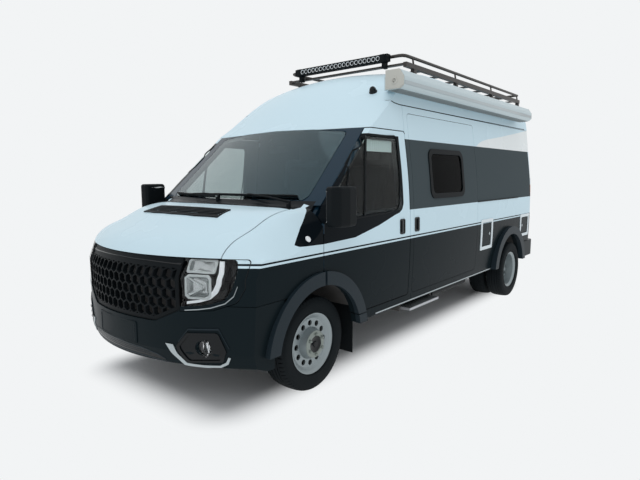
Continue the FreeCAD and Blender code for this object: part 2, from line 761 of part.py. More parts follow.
# Front pillars beside the screen, on posts that carry the cab doors' hinges
PILLAR_LOW = 1340
DASHBOARD_TOP = 1312
pillar = shell.common(box((300, BEYOND), (along(-260), along(760)), (PILLAR_LOW, BROW_HEIGHT - 1 - seat_gap)))
pillar = pillar.cut([screen_opening, door_room, scuttle_zone])
pillar = max(pillar.Solids, key=lambda solid: solid.Volume)
post_x = (half_width * 0.84, half_width - 58)
post = box(post_x, (along(-150), along(-seam)), (sill + 5, PILLAR_LOW)).cut(front_arch).common(fitted_nose)
post = max(post.Solids, key=lambda solid: solid.Volume)
ties = [
    box((post_x[0], half_width - 95), (along(-60), along(FIREWALL_FRONT) - seat_gap), (1240, 1420)),
    box((post_x[0], half_width - 95), (along(-60), along(170)), (DASHBOARD_TOP + seam, 1440)),
]
ties = [tie.common(fitted_nose).cut([screen_opening, door_room]) for tie in ties]
pillar = joined([pillar, post] + ties + door_hinges)
publish("front_pillars", together([pillar, mirrored(pillar)]))

FOG_X = 700
FOG_Z = 497
FOG_RADIUS = 44
FOG_FACE = front_face + 345 * (FOG_X / half_width) ** 2 + 22
fog_recess = Part.makeCylinder(FOG_RADIUS + seat_gap, 400, Vector(FOG_X, front_face - 50, FOG_Z), Vector(0, 1, 0))
bumper_zone = box((-BEYOND, BEYOND), (front_face - 50, along(-400)), (0, BUMPER_TOP))
bumper = nose_shell.common(bumper_zone).cut([
    lamp_opening, mirrored(lamp_opening), front_arch,
    end_prism(grille_line, LAMP_REACH, 20, fixed_seam), fog_recess, mirrored(fog_recess),
])
publish("front_bumper", max(bumper.Solids, key=lambda solid: solid.Volume))


def grille_panel():
    """Honeycomb between a top bar and a frame that follow the nose."""
    back = form(40)
    slab = form(10).cut(back).common(end_prism(grille_line, LAMP_REACH, 16))
    flange = nose_form.cut(back).common(end_prism(grille_line, LAMP_REACH, 16, 14))
    slab = joined([slab, flange]).cut(box((-BEYOND, BEYOND), LAMP_REACH, (BONNET_LOW - seam, BEYOND)))
    lamp_room = end_prism(lamp_line, LAMP_REACH, 8, 12)
    slab = slab.cut([lamp_room, mirrored(lamp_room)])
    cell = size("grille_cell")
    pitch = cell + size("grille_web")
    frame = 26
    top_bar = 62
    row_pitch = pitch * math.sqrt(3) / 2
    corner = cell / math.sqrt(3)
    cells = []
    rows = int(430 / row_pitch) + 2
    columns = int(1200 / pitch) + 2
    for row in range(rows):
        for column in range(-columns // 2, columns // 2 + 1):
            x = (column + 0.5 * (row % 2)) * pitch
            z = 640 + row * row_pitch
            points = [
                (x + corner * math.sin(math.radians(60 * k)), z + corner * math.cos(math.radians(60 * k)))
                for k in range(6)
            ]
            cells.append(plate(points, "y", *LAMP_REACH))
    window = end_prism(
        [(-552 + frame, 1046 - top_bar), (552 - frame, 1046 - top_bar), (552 - frame, 726 + 16),
         (372 - 8, 642 + frame), (-372 + 8, 642 + frame), (-552 + frame, 726 + 16)],
        LAMP_REACH, 12,
    )
    openings = Part.Compound(cells).common(window)
    return slab.cut(openings)


publish("grille", grille_panel())

# Wheels: front ones single with a raised disc, rear ones in pairs with a sunk disc
def wheel_tyre(name):
    """A tyre about its own middle, turned from a sketch."""
    half = "sizes.tyre_width / 2"
    tread = "sizes.tyre_radius"
    bead = "sizes.rim_radius"
    lip = "sizes.rim_width / 2"
    half_profile = [
        (f"{lip} - 14 - sizes.seat_gap", f"{bead} - 18 + sizes.seat_gap"),
        (f"{lip} - 6 - 2 * sizes.seat_gap", f"{bead} + sizes.seat_gap"),
        (f"{half} - 4", f"{bead} + 10"),
        (half, f"({tread} + {bead}) / 2"),
        (f"{half} - 10", f"{tread} - 26"),
        (f"{half} - 26", f"{tread} - 6"),
        (f"{half} - 60", tread),
    ]
    other_half = [(f"-({across})", up) for across, up in reversed(half_profile)]
    body = make_body(name)
    revolve(body, bound_sketch(body, f"{name}_profile", "XZ_Plane", half_profile + other_half), f"{name}_turned")
    return body


RIM_HOLES = 12
RIM_HOLE_RADIUS = 21
RIM_HOLE_CIRCLE = 148
SPINDLE_RADIUS = 30
BEARING_GAP = 0.5


def wheel_rim(name, raised):
    """A rim about its own middle with its disc facing +X, and a ring of round holes."""
    half = "sizes.rim_width / 2"
    lip = "sizes.rim_radius"
    face = f"{half} - 30" if raised else f"-{half} + 64"
    hub = f"{half} + 18" if raised else f"-{half} + 40"
    bore = str(SPINDLE_RADIUS + BEARING_GAP)
    profile = [
        (half, lip), (half, f"{lip} - 7"), (f"{half} - 12", f"{lip} - 22"),
        (f"{half} - 20", f"{lip} - 30"),
        (face, f"{lip} - 42"), (face, f"{lip} - 104"), (hub, f"{lip} - 122"), (hub, bore),
        (f"{hub} - 60", bore), (f"{hub} - 60", f"{lip} - 134"), (f"{face} - 14", f"{lip} - 112"),
        (f"{face} - 14", f"{lip} - 46"),
        (f"-{half} + 12", f"{lip} - 32"), (f"-{half}", f"{lip} - 10"), (f"-{half}", lip),
        (f"-{half} + 6", lip), (f"-{half} + 14", f"{lip} - 18"),
        (f"{half} - 14", f"{lip} - 18"), (f"{half} - 6", lip),
    ]
    body = make_body(name)
    revolve(body, bound_sketch(body, f"{name}_profile", "XZ_Plane", profile), f"{name}_turned")
    solid_disc = body.Shape.Volume
    sketch = body.newObject("Sketcher::SketchObject", f"{name}_hole")
    sketch.AttachmentSupport = [(origin_plane(body, "YZ_Plane"), "")]
    sketch.MapMode = "FlatFace"
    sketch.addGeometry(Part.Circle(Vector(0, RIM_HOLE_CIRCLE, 0), Vector(0, 0, 1), RIM_HOLE_RADIUS), False)
    sketch.addConstraint(Sketcher.Constraint("Radius", 0, RIM_HOLE_RADIUS))
    sketch.addConstraint(Sketcher.Constraint("PointOnObject", 0, 3, -2))
    spot = sketch.addConstraint(Sketcher.Constraint("DistanceY", -1, 1, 0, 3, RIM_HOLE_CIRCLE))
    sketch.setExpression(f"Constraints[{spot}]", f"{lip} - 74")
    pocket = body.newObject("PartDesign::Pocket", f"{name}_pocket")
    pocket.Profile = sketch
    pocket.Type = "ThroughAll"
    pocket.Midplane = True
    doc.recompute()
    ring = body.newObject("PartDesign::PolarPattern", f"{name}_holes")
    ring.Originals = [pocket]
    ring.Axis = (sketch, ["N_Axis"])
    ring.Angle = 360
    ring.Occurrences = RIM_HOLES
    body.Tip = ring
    doc.recompute()
    if body.Shape.Volume >= solid_disc:
        raise ValueError(f"{name}: the holes cut nothing")
    return body


front_tyre = wheel_tyre("tyre_pattern")
front_rim = wheel_rim("rim_front_pattern", True)
rear_rim = wheel_rim("rim_rear_pattern", False)
doc.recompute()

front_wheel_x = size("front_track") / 2
rear_wheel_x = size("rear_track") / 2
twin = size("twin_spacing") / 2
SPACER_HALF = 78
SPACER_RADIUS = 96
half_turn = Rotation(Vector(0, 0, 1), 180)


def wheel_place(x, y, turned):
    return Placement(Vector(x, y, axle_height), half_turn if turned else Rotation())


def placed(shape, place):
    copy = shape.copy()
    copy.Placement = place
    return copy


for side, sign in (("left", 1), ("right", -1)):
    away = sign < 0
    front_place = wheel_place(sign * front_wheel_x, front_axle, away)
    publish(f"tyre_front_{side}", front_tyre.Shape, front_place)
    publish(f"rim_front_{side}", front_rim.Shape, front_place)
    outer_place = wheel_place(sign * (rear_wheel_x + twin), rear_axle, away)
    inner_place = wheel_place(sign * (rear_wheel_x - twin), rear_axle, away)
    publish(f"tyres_rear_{side}", together([
        placed(front_tyre.Shape, outer_place), placed(front_tyre.Shape, inner_place),
    ]))
    # The inner rim of a pair faces the other way, so that the two discs bolt together
    inner_place = wheel_place(sign * (rear_wheel_x - twin), rear_axle, not away)
    spacer_span = sorted((sign * (rear_wheel_x - SPACER_HALF), sign * (rear_wheel_x + SPACER_HALF)))
    bore = disc(rear_axle, axle_height, SPINDLE_RADIUS + BEARING_GAP, -BEYOND, BEYOND)
    spacer = disc(rear_axle, axle_height, SPACER_RADIUS, *spacer_span).cut(bore)
    publish(f"rims_rear_{side}", joined([
        placed(rear_rim.Shape, outer_place), placed(rear_rim.Shape, inner_place), spacer,
    ]))

# Steering knuckles with their spindles, turning on pins held by two arms
KINGPIN_X = front_wheel_x - 60
UPRIGHT_HALF = 96
ARM_THICKNESS = 24
KNUCKLE_GAP = 0.5
KINGPIN_RADIUS = 15
kingpin_half = UPRIGHT_HALF + KNUCKLE_GAP + ARM_THICKNESS
knuckle = joined([
    box((KINGPIN_X - 24, KINGPIN_X + 24), (front_axle - 36, front_axle + 36),
        (axle_height - UPRIGHT_HALF, axle_height + UPRIGHT_HALF)),
    rod((KINGPIN_X, front_axle, axle_height - kingpin_half),
        (KINGPIN_X, front_axle, axle_height + kingpin_half), KINGPIN_RADIUS),
    rod((KINGPIN_X, front_axle, axle_height), (front_wheel_x + 84, front_axle, axle_height), SPINDLE_RADIUS),
    rod((KINGPIN_X - 6, front_axle, axle_height - 60), (KINGPIN_X - 30, front_axle + 120, axle_height - 60), 12),
])
publish("knuckle_left", knuckle)
publish("knuckle_right", mirrored(knuckle))


def suspension_arm(low):
    """A flat arm from the rail to the kingpin."""
    plan = [
        (rail_x, front_axle - 120), (KINGPIN_X + 26, front_axle - 24), (KINGPIN_X + 26, front_axle + 24),
        (rail_x, front_axle + 120),
    ]
    arm = plate(plan, "z", low, low + ARM_THICKNESS, [0, 22, 22, 0])
    pin_hole = rod((KINGPIN_X, front_axle, low - 5), (KINGPIN_X, front_axle, low + ARM_THICKNESS + 5), KINGPIN_RADIUS + pin_gap)
    return arm.cut(pin_hole)


# Chassis: two rails with crossmembers, the front arms and struts
rail_x = size("rail_half_gap")
rail_top = floor_bottom
rail_low = rail_top - size("rail_height")
RAIL_FRONT = along(-760)
BUMPER_DEPTH = 70
RAIL_REAR = rear_face - BUMPER_DEPTH - seat_gap
rails = []
for sign in (1, -1):
    middle = sign * rail_x
    rails.append(box(
        (middle - size("rail_width") / 2, middle + size("rail_width") / 2), (RAIL_FRONT, RAIL_REAR), (rail_low, rail_top)))
for y in (along(-700), along(-120), along(560), along(1500), along(2450), rear_axle - 560, rear_axle + 620):
    rails.append(box((-rail_x, rail_x), (y - 35, y + 35), (rail_low + 15, rail_top)))
left_arms = [
    suspension_arm(axle_height + UPRIGHT_HALF + KNUCKLE_GAP),
    suspension_arm(axle_height - UPRIGHT_HALF - KNUCKLE_GAP - ARM_THICKNESS),
    rod((550, front_axle, axle_height - UPRIGHT_HALF - 10), (550, front_axle, 860), 30),
    box((rail_x - 20, rail_x + 20), (front_axle - 120, front_axle + 120), (axle_height - UPRIGHT_HALF - 24, rail_top)),
]
rails += left_arms + [mirrored(arm) for arm in left_arms]
publish("chassis_frame", joined(rails))

# Rear axle on leaf springs
spring_profile = side_outline([
    (3130, rail_low - 6), (3440, 372), (3750, 352), (4060, 372), (4370, rail_low - 6),
    (4370, rail_low - 46), (4060, 332), (3750, 300), (3440, 332), (3130, rail_low - 46),
])
AXLE_TUBE_RADIUS = 55
spindle_end = rear_wheel_x + twin
tube_end = rear_wheel_x - twin - 130
axle_half = [
    (tube_end, AXLE_TUBE_RADIUS), (tube_end, SPINDLE_RADIUS), (spindle_end, SPINDLE_RADIUS), (spindle_end, 0),
]
housing_half = [(60, 150), (112, 118), (150, 72), (190, AXLE_TUBE_RADIUS)]
axle_right = housing_half + axle_half
axle_left = [(-x, radius) for x, radius in reversed(axle_right)]
axle_face = Part.Face(Part.makePolygon([
    Vector(x, rear_axle, axle_height + radius) for x, radius in axle_left + axle_right + axle_left[:1]
]))
axle_pieces = [axle_face.revolve(Vector(0, rear_axle, axle_height), Vector(1, 0, 0), 360)]
for sign in (1, -1):
    axle_pieces.append(plate(spring_profile, "x", sign * rail_x - 32, sign * rail_x + 32))
    for y in (along(3150), along(4350)):
        axle_pieces.append(box((sign * rail_x - 26, sign * rail_x + 26), (y - 20, y + 20), (rail_low - 30, rail_low)))
publish("rear_axle", joined(axle_pieces))

# Engine, radiator and fuel tank
engine = bound_box("engine_block", ("sizes.engine_width", "sizes.engine_length", "sizes.engine_height"), (
    "-sizes.engine_width / 2", "-sizes.overall_length / 2 + sizes.front_overhang - 560",
    "sizes.floor_height - sizes.floor_thickness"))
publish("radiator", box((-500, 500), (along(-760), along(-710)), (rail_top, 1000)))
tank = box((rail_x + 50, 900), (along(1850), along(2650)), (330, floor_bottom))
publish("fuel_tank", tank.makeFillet(40, [edge for edge in tank.Edges if edge.BoundBox.YLength > 500 and edge.BoundBox.ZMax < 400]))

# Floor with the firewall and the wheel houses
TUB_IN = 490
tub_wall = 10
floor_pieces = [box((-BEYOND, BEYOND), (along(430), rear_face - 120), (floor_bottom, floor_top))]
floor_pieces.append(box((-BEYOND, BEYOND), (along(FIREWALL_FRONT), along(FIREWALL_REAR)), (floor_top + 180, 1300)))
floor_pieces.append(box((-BEYOND, BEYOND), (along(FIREWALL_FRONT), along(460)), (floor_top + 180, floor_top + 204)))
floor_pieces.append(box((-BEYOND, BEYOND), (along(430), along(460)), (floor_bottom, floor_top + 204)))
wheel_houses = []
for y, radius in ((front_arch_centre, size("arch_radius")), (rear_axle, size("rear_arch_radius"))):
    drum = disc(y, axle_height + 3, radius + tub_wall, TUB_IN, BEYOND).cut(disc(y, axle_height + 3, radius, TUB_IN + tub_wall, BEYOND))
    wheel_houses.append(drum)
floor_shape = joined(floor_pieces)
rear_drum = disc(rear_axle, axle_height + 3, size("rear_arch_radius") + tub_wall, TUB_IN, BEYOND)
front_drum = disc(front_arch_centre, axle_height + 3, size("arch_radius") + tub_wall, TUB_IN, BEYOND)
floor_shape = floor_shape.cut([rear_drum, front_drum, mirrored(rear_drum), mirrored(front_drum)])
above_rail = box((-BEYOND, BEYOND), (-BEYOND, BEYOND), (floor_bottom, BEYOND))
behind_firewall = box((-BEYOND, BEYOND), (along(FIREWALL_FRONT), BEYOND), (-BEYOND, BEYOND))
houses = []
for house in wheel_houses:
    for shape in (house, mirrored(house)):
        houses.append(shape.common(above_rail).common(behind_firewall))
floor_shape = joined([floor_shape] + houses).common(fitted_form)
publish("floor_pan", max(floor_shape.Solids, key=lambda solid: solid.Volume))

# Cab: dashboard, steering wheel and seats
DASHBOARD_FRONT = FIREWALL_REAR + seat_gap
dashboard_line = side_outline([
    (DASHBOARD_FRONT, 900), (DASHBOARD_FRONT, 1290), (180, DASHBOARD_TOP), (470, 1240),
    (560, 1180), (560, 1080), (420, 960), (380, 900),
])
dashboard = plate(dashboard_line, "x", -BEYOND, BEYOND, 20).common(form(wall + 12))
publish("dashboard", dashboard)
WHEEL_X = -410
wheel_centre = Vector(WHEEL_X, along(640), 1150)
wheel_axis = Vector(0, -math.cos(math.radians(34)), -math.sin(math.radians(34)))
steering = Part.makeTorus(size("steering_wheel_radius") - 16, 16, wheel_centre, wheel_axis)
column_end = wheel_centre + wheel_axis * 190
hub = Part.makeCylinder(52, 46, wheel_centre + wheel_axis * -4, wheel_axis)
spokes = []
for angle in (0, 180, 270):
    spoke = Part.makeBox(size("steering_wheel_radius") - 20, 34, 16, Vector(0, -17, -8))
    spoke.rotate(Vector(0, 0, 0), Vector(0, 0, 1), angle)
    tilt = Rotation(Vector(0, 0, -1), wheel_axis)
    spoke.Placement = Placement(wheel_centre, tilt).multiply(spoke.Placement)
    spokes.append(spoke)
column = Part.makeCylinder(28, 150, wheel_centre + wheel_axis * 30, wheel_axis)
steering_shape = joined([steering, hub, column] + spokes).cut(dashboard)
publish("steering_wheel", max(steering_shape.Solids, key=lambda solid: solid.Volume))

SEAT_Y = along(800)
seats = []
bases = []
SEAT_LOW = floor_top + 340
SEAT_TOP = floor_top + 470
BACK_TOP = floor_top + 1080
for x in (-WHEEL_X, WHEEL_X):
    cushion = box((x - 250, x + 250), (SEAT_Y, SEAT_Y + 560), (SEAT_LOW, SEAT_TOP))
    cushion = cushion.makeFillet(40, cushion.Edges)
    back = plate([(SEAT_Y + 410, SEAT_TOP + seat_gap), (SEAT_Y + 570, SEAT_TOP + seat_gap),
                  (SEAT_Y + 720, BACK_TOP), (SEAT_Y + 590, BACK_TOP)], "x", x - 245, x + 245, 36)
    head = box((x - 130, x + 130), (SEAT_Y + 620, SEAT_Y + 720), (BACK_TOP + seat_gap, floor_top + 1280))
    head = head.makeFillet(34, head.Edges)
    seats += [cushion, back, head]
    bases.append(box((x - 220, x + 220), (SEAT_Y + 30, SEAT_Y + 540), (floor_top, SEAT_LOW - seat_gap)))
publish("cab_seats", together(seats))
publish("seat_bases", together(bases))

# Arch flares and mudflaps
flare = size("flare_width")
FRONT_FLARE_REACH = 24
REAR_FLARE_REACH = 44
FLARE_LEAN = -8


def arch_flare(centre_y, radius, reach):
    ring = disc(centre_y, axle_height + 3, radius + flare, half_width - 60, half_width + reach)
    ring = ring.cut(disc(centre_y, axle_height + 3, radius - 8, 0, BEYOND))
    return ring.cut([section(-seat_gap), below_sill])


front_flare = arch_flare(front_arch_centre, size("arch_radius"), FRONT_FLARE_REACH)
rear_flare = arch_flare(rear_axle, size("rear_arch_radius"), REAR_FLARE_REACH)

# The cab door carries its own length of the front flare, which clears the fixed one as it swings
swing_reach = half_width + FRONT_FLARE_REACH - DOOR_HINGE_X
swing_room = Part.makeCylinder(
    swing_reach / math.cos(math.radians(FLARE_LEAN)) + 5, 2 * BEYOND, Vector(DOOR_HINGE_X, DOOR_HINGE_Y, -BEYOND),
)
door_side = Part.makeBox(2 * BEYOND, BEYOND, BEYOND, Vector(-BEYOND, 0, DOOR_LOW))
door_side.rotate(Vector(0, 0, 0), Vector(0, 0, 1), -FLARE_LEAN)
door_side.translate(Vector(DOOR_HINGE_X, DOOR_HINGE_Y, 0))
behind_door_edge = box((0, BEYOND), (DOOR_HINGE_Y, BEYOND), (DOOR_LOW - seam, BEYOND))
fixed_flare = front_flare.cut([swing_room, behind_door_edge])
door_flare = front_flare.common(door_side)
door_flare = max(door_flare.Solids, key=lambda solid: solid.Volume)
flares = fixed_flare.Solids + [max(rear_flare.Solids, key=lambda solid: solid.Volume)]
publish("arch_flares", together(flares + [mirrored(piece) for piece in flares]))
publish("door_flare_left", door_flare)
publish("door_flare_right", mirrored(door_flare))
FLAP_OUT = half_width - 76
flap_top = floor_bottom - seat_gap
flaps = [
    box((700, FLAP_OUT), (along(440), along(446)), (160, flap_top)),
    box((560, FLAP_OUT), (rear_axle + 490, rear_axle + 496), (143, flap_top)),
]
publish("mudflaps", together(flaps + [mirrored(flap) for flap in flaps]))

# Rear bumper and tail lamps
bumper_plan = [
    (half_width + 2, BEHIND_REAR_ARCH + 12), (half_width + 2, rear_face), (-half_width - 2, rear_face),
    (-half_width - 2, BEHIND_REAR_ARCH + 12), (-half_width + 60, BEHIND_REAR_ARCH + 12),
    (-half_width + 60, rear_face - BUMPER_DEPTH), (half_width - 60, rear_face - BUMPER_DEPTH),
    (half_width - 60, BEHIND_REAR_ARCH + 12),
]
flare_room = disc(rear_axle, axle_height + 3, size("rear_arch_radius") + flare + fixed_seam, -BEYOND, BEYOND)
rear_bumper = plate(bumper_plan, "z", sill + 7, REAR_BUMPER_TOP, [0, 90, 90, 0, 0, 60, 60, 0]).cut(flare_room)
publish("rear_bumper", max(rear_bumper.Solids, key=lambda solid: solid.Volume))

# Hatch lids and their frames
for name, hatch, y, z in zip(("hatch_lid_front", "hatch_lid_rear"), hatch_lines, hatch_axes, hatch_hinge_height):
    publish(name, side_skin.common(side_prism(hatch, 10)).cut(pin_bore(HATCH_HINGE_X, y, z)))
frames = []
frame_skin = section(-7).cut(section(-seat_gap))
for hatch in hatch_lines:
    ring = side_prism(hatch, 16, seam + 38).cut(side_prism(hatch, 12, seam))
    frames.append(frame_skin.common(ring).cut(flares[-1]))
publish("hatch_frames", together(frames))

# Roof: rack, light bar and awning
RACK_Y = along(1540)
RACK_LOW = 2566
RACK_HIGH = 2655
rack_end = RACK_Y + size("rack_length")
rack = []
for sign in (1, -1):
    rack.append(box((sign * 720 - 18, sign * 720 + 18), (RACK_Y, rack_end), (RACK_LOW - 22, RACK_LOW + 22)))
    rack.append(rod((sign * 700, RACK_Y + 160, RACK_HIGH), (sign * 700, rack_end, RACK_HIGH), 15))
    for share in (0.055, 0.35, 0.68, 0.99):
        y = RACK_Y + share * size("rack_length")
        rack.append(rod((sign * 716, y, RACK_LOW), (sign * 702, y, RACK_HIGH), 9))
        rack.append(box((sign * 716 - 20, sign * 716 + 20), (y - 22, y + 22), (2440, RACK_LOW)).cut(outer))
slat_count = 9
for index in range(slat_count):
    y = RACK_Y + 24 + index * (size("rack_length") - 48) / (slat_count - 1)
    rack.append(box((-720, 720), (y - 24, y + 24), (RACK_LOW, RACK_LOW + 16)))
rack.append(rod((-700, rack_end, RACK_HIGH), (700, rack_end, RACK_HIGH), 15))
publish("roof_rack", joined(rack))
bar_half = size("light_bar_length") / 2
light_bar = box((-bar_half, bar_half), (RACK_Y - 78, RACK_Y - 12), (2604, 2672))
light_bar = light_bar.makeFillet(8, [edge for edge in light_bar.Edges if edge.BoundBox.XLength > 500])
bar_feet = [box((x - 15, x + 15), (RACK_Y - 60, RACK_Y), (RACK_LOW - 20, 2606)) for x in (-520, 520)]
publish("light_bar", joined([light_bar] + bar_feet))

AWNING_Y = along(930)
awning_end = AWNING_Y + size("awning_length")
case_line = [(900, 2236), (1040, 2236), (1072, 2262), (1072, 2330), (1030, 2392), (900, 2392)]
case = plate(case_line, "y", AWNING_Y, awning_end, [8, 20, 26, 40, 30, 8])
arms = []
for share in (0.06, 0.5, 0.94):
    y = AWNING_Y + share * size("awning_length")
    arm = box((800, 901), (y - 60, y + 60), (2262, 2372)).cut(outer)
    arms.append(max(arm.Solids, key=lambda solid: solid.CenterOfMass.x))
publish("awning", joined([case] + arms))

# Fog lamps and entry step
fog = Part.makeCylinder(FOG_RADIUS, 70, Vector(FOG_X, FOG_FACE, FOG_Z), Vector(0, 1, 0))
publish("fog_lamps", together([fog, mirrored(fog)]))

STEP_Y = along(1180)
step_end = STEP_Y + size("step_length")
step = box((half_width - 190, half_width + 20), (STEP_Y, step_end), (354, 376))
publish("entry_step", step)
guides = []
for y in (STEP_Y - 24 - seat_gap, step_end + seat_gap):
    guides.append(box((half_width - 80 - size("step_travel"), FLAP_OUT), (y, y + 24), (340, floor_bottom)))
publish("step_frame", together(guides))

doc.recompute()
for item in doc.Objects:
    if "Invalid" in item.State or "Error" in item.State:
        raise ValueError(f"{item.Label} failed")
os.makedirs("parts", exist_ok=True)
pieces = [item for item in doc.Objects if item.TypeId == "Part::Feature"] + [engine]
for piece in pieces:
    if piece.Shape.isNull() or not piece.Shape.isValid():
        raise ValueError(f"{piece.Label} has no valid shape")
    piece.Shape.exportStep(f"parts/{piece.Label}.step")
    print(piece.Label, len(piece.Shape.Solids), round(piece.Shape.Volume / 1e6, 1))
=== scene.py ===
import math

import bmesh
import bpy
from mathutils import Matrix, Vector
from mathutils.bvhtree import BVHTree


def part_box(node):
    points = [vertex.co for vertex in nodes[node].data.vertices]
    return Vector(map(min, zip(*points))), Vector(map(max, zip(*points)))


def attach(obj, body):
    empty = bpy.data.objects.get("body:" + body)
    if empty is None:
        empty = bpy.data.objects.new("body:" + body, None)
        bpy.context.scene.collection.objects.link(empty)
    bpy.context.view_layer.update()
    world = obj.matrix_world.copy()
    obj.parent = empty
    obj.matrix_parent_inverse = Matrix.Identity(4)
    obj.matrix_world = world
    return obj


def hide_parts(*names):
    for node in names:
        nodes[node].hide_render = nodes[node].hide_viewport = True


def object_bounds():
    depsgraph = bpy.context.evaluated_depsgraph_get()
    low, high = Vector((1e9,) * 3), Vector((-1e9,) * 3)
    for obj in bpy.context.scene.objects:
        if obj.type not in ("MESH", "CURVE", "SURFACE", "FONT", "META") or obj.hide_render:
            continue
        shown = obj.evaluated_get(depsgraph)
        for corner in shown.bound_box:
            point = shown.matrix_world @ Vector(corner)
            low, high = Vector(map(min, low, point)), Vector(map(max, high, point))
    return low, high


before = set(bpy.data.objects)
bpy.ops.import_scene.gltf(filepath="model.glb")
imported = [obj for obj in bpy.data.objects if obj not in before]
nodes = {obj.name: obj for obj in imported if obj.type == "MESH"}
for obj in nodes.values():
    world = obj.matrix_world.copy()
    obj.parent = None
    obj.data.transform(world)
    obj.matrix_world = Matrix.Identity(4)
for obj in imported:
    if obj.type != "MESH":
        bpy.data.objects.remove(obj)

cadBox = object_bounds()
scene = bpy.context.scene
scene.view_settings.view_transform = "Standard"
frontAxle = -1.88
rearAxle = 1.87
axleHeight = 0.347
bothSides = (("left", 1), ("right", -1))
number = "NodeSocketFloat"
colour = "NodeSocketColor"


# Shader helpers: every finish is worked out on Object coordinates

def plug(tree, socket, value):
    if isinstance(value, bpy.types.NodeSocket):
        tree.links.new(value, socket)
    elif value is not None:
        socket.default_value = value


def addNode(tree, kind, **inputs):
    node = tree.nodes.new(kind)
    for key, value in inputs.items():
        plug(tree, node.inputs[key.replace("_", " ")], value)
    return node


def calc(tree, operation, first, second=None, third=None):
    node = tree.nodes.new("ShaderNodeMath")
    node.operation = operation
    for socket, value in zip(node.inputs, (first, second, third)):
        plug(tree, socket, value)
    return node.outputs[0]


def vectorMath(tree, operation, first, second):
    node = tree.nodes.new("ShaderNodeVectorMath")
    node.operation = operation
    plug(tree, node.inputs[0], first)
    plug(tree, node.inputs["Scale" if operation == "SCALE" else 1], second)
    return node


def allOf(tree, *masks):
    result = masks[0]
    for mask in masks[1:]:
        result = calc(tree, "MULTIPLY", result, mask)
    return result


def between(tree, value, low, high):
    return allOf(tree, calc(tree, "GREATER_THAN", value, low), calc(tree, "LESS_THAN", value, high))


def blendColour(tree, factor, first, second):
    node = tree.nodes.new("ShaderNodeMix")
    node.data_type = "RGBA"
    for index, value in ((0, factor), (6, first), (7, second)):
        plug(tree, node.inputs[index], value)
    return node.outputs[2]


def edgeLine(tree, value, points):
    along, heights = zip(*points)
    start, length = along[0], along[-1] - along[0]
    low, rise = min(heights), max(heights) - min(heights)
    share = addNode(tree, "ShaderNodeMapRange", Value=value, From_Min=along[0], From_Max=along[-1])
    curveNode = addNode(tree, "ShaderNodeFloatCurve", Value=share.outputs[0])
    curve = curveNode.mapping.curves[0]
    spots = [((y - start) / length, (z - low) / rise) for y, z in points]
    curve.points[0].location = spots[0]
    curve.points[1].location = spots[-1]
    for spot in spots[1:-1]:
        curve.points.new(*spot)
    for point in curve.points:
        point.handle_type = "VECTOR"
    curveNode.mapping.update()
    return calc(tree, "MULTIPLY_ADD", curveNode.outputs[0], rise, low)


def newGroup(name, inputs, outputs):
    tree = bpy.data.node_groups.new(name, "ShaderNodeTree")
    for label, kind, value in inputs:
        socket = tree.interface.new_socket(label, in_out="INPUT", socket_type=kind)
        socket.default_value = value
    for label, kind in outputs:
        tree.interface.new_socket(label, in_out="OUTPUT", socket_type=kind)
    return tree, tree.nodes.new("NodeGroupInput"), tree.nodes.new("NodeGroupOutput")


def makeGrainGroup():
    tree, given, result = newGroup(
        "surfaceGrain",
        [("Scale", number, 40.0), ("Contrast", number, 0.1), ("Base", colour, (1, 1, 1, 1))],
        [("Color", colour), ("Height", number), ("Patch", number)],
    )
    spot = addNode(tree, "ShaderNodeTexCoord").outputs["Object"]
    fine = addNode(tree, "ShaderNodeTexNoise", Vector=spot, Scale=given.outputs["Scale"], Detail=4).outputs["Fac"]
    broad = addNode(tree, "ShaderNodeTexNoise", Vector=spot, Scale=1.7, Detail=3).outputs["Fac"]
    both = calc(tree, "MULTIPLY_ADD", broad, 0.6, calc(tree, "MULTIPLY", fine, 0.4))
    swing = calc(tree, "MULTIPLY_ADD", calc(tree, "SUBTRACT", both, 0.5), given.outputs["Contrast"], 1.0)
    shade = vectorMath(tree, "SCALE", given.outputs["Base"], swing)
    for label, value in (("Color", shade.outputs[0]), ("Height", fine), ("Patch", broad)):
        plug(tree, result.inputs[label], value)
    return tree


def makeDustGroup():
    tree, given, result = newGroup(
        "roadDust",
        [("Base", colour, (1, 1, 1, 1)), ("Dust", colour, (0.16, 0.15, 0.135, 1)), ("Top", number, 0.9),
         ("Amount", number, 0.3)],
        [("Color", colour), ("Mask", number)],
    )
    spot = addNode(tree, "ShaderNodeTexCoord").outputs["Object"]
    height = addNode(tree, "ShaderNodeSeparateXYZ", Vector=spot).outputs["Z"]
    noise = addNode(tree, "ShaderNodeTexNoise", Vector=spot, Scale=9, Detail=6).outputs["Fac"]
    fall = addNode(tree, "ShaderNodeMapRange", Value=height, From_Min=0, From_Max=given.outputs["Top"], To_Min=1,
                   To_Max=0)
    mask = allOf(tree, fall.outputs[0], calc(tree, "MULTIPLY", noise, 1.6), given.outputs["Amount"])
    mask = calc(tree, "MINIMUM", mask, 1.0)
    plug(tree, result.inputs["Color"], blendColour(tree, mask, given.outputs["Base"], given.outputs["Dust"]))
    plug(tree, result.inputs["Mask"], mask)
    return tree


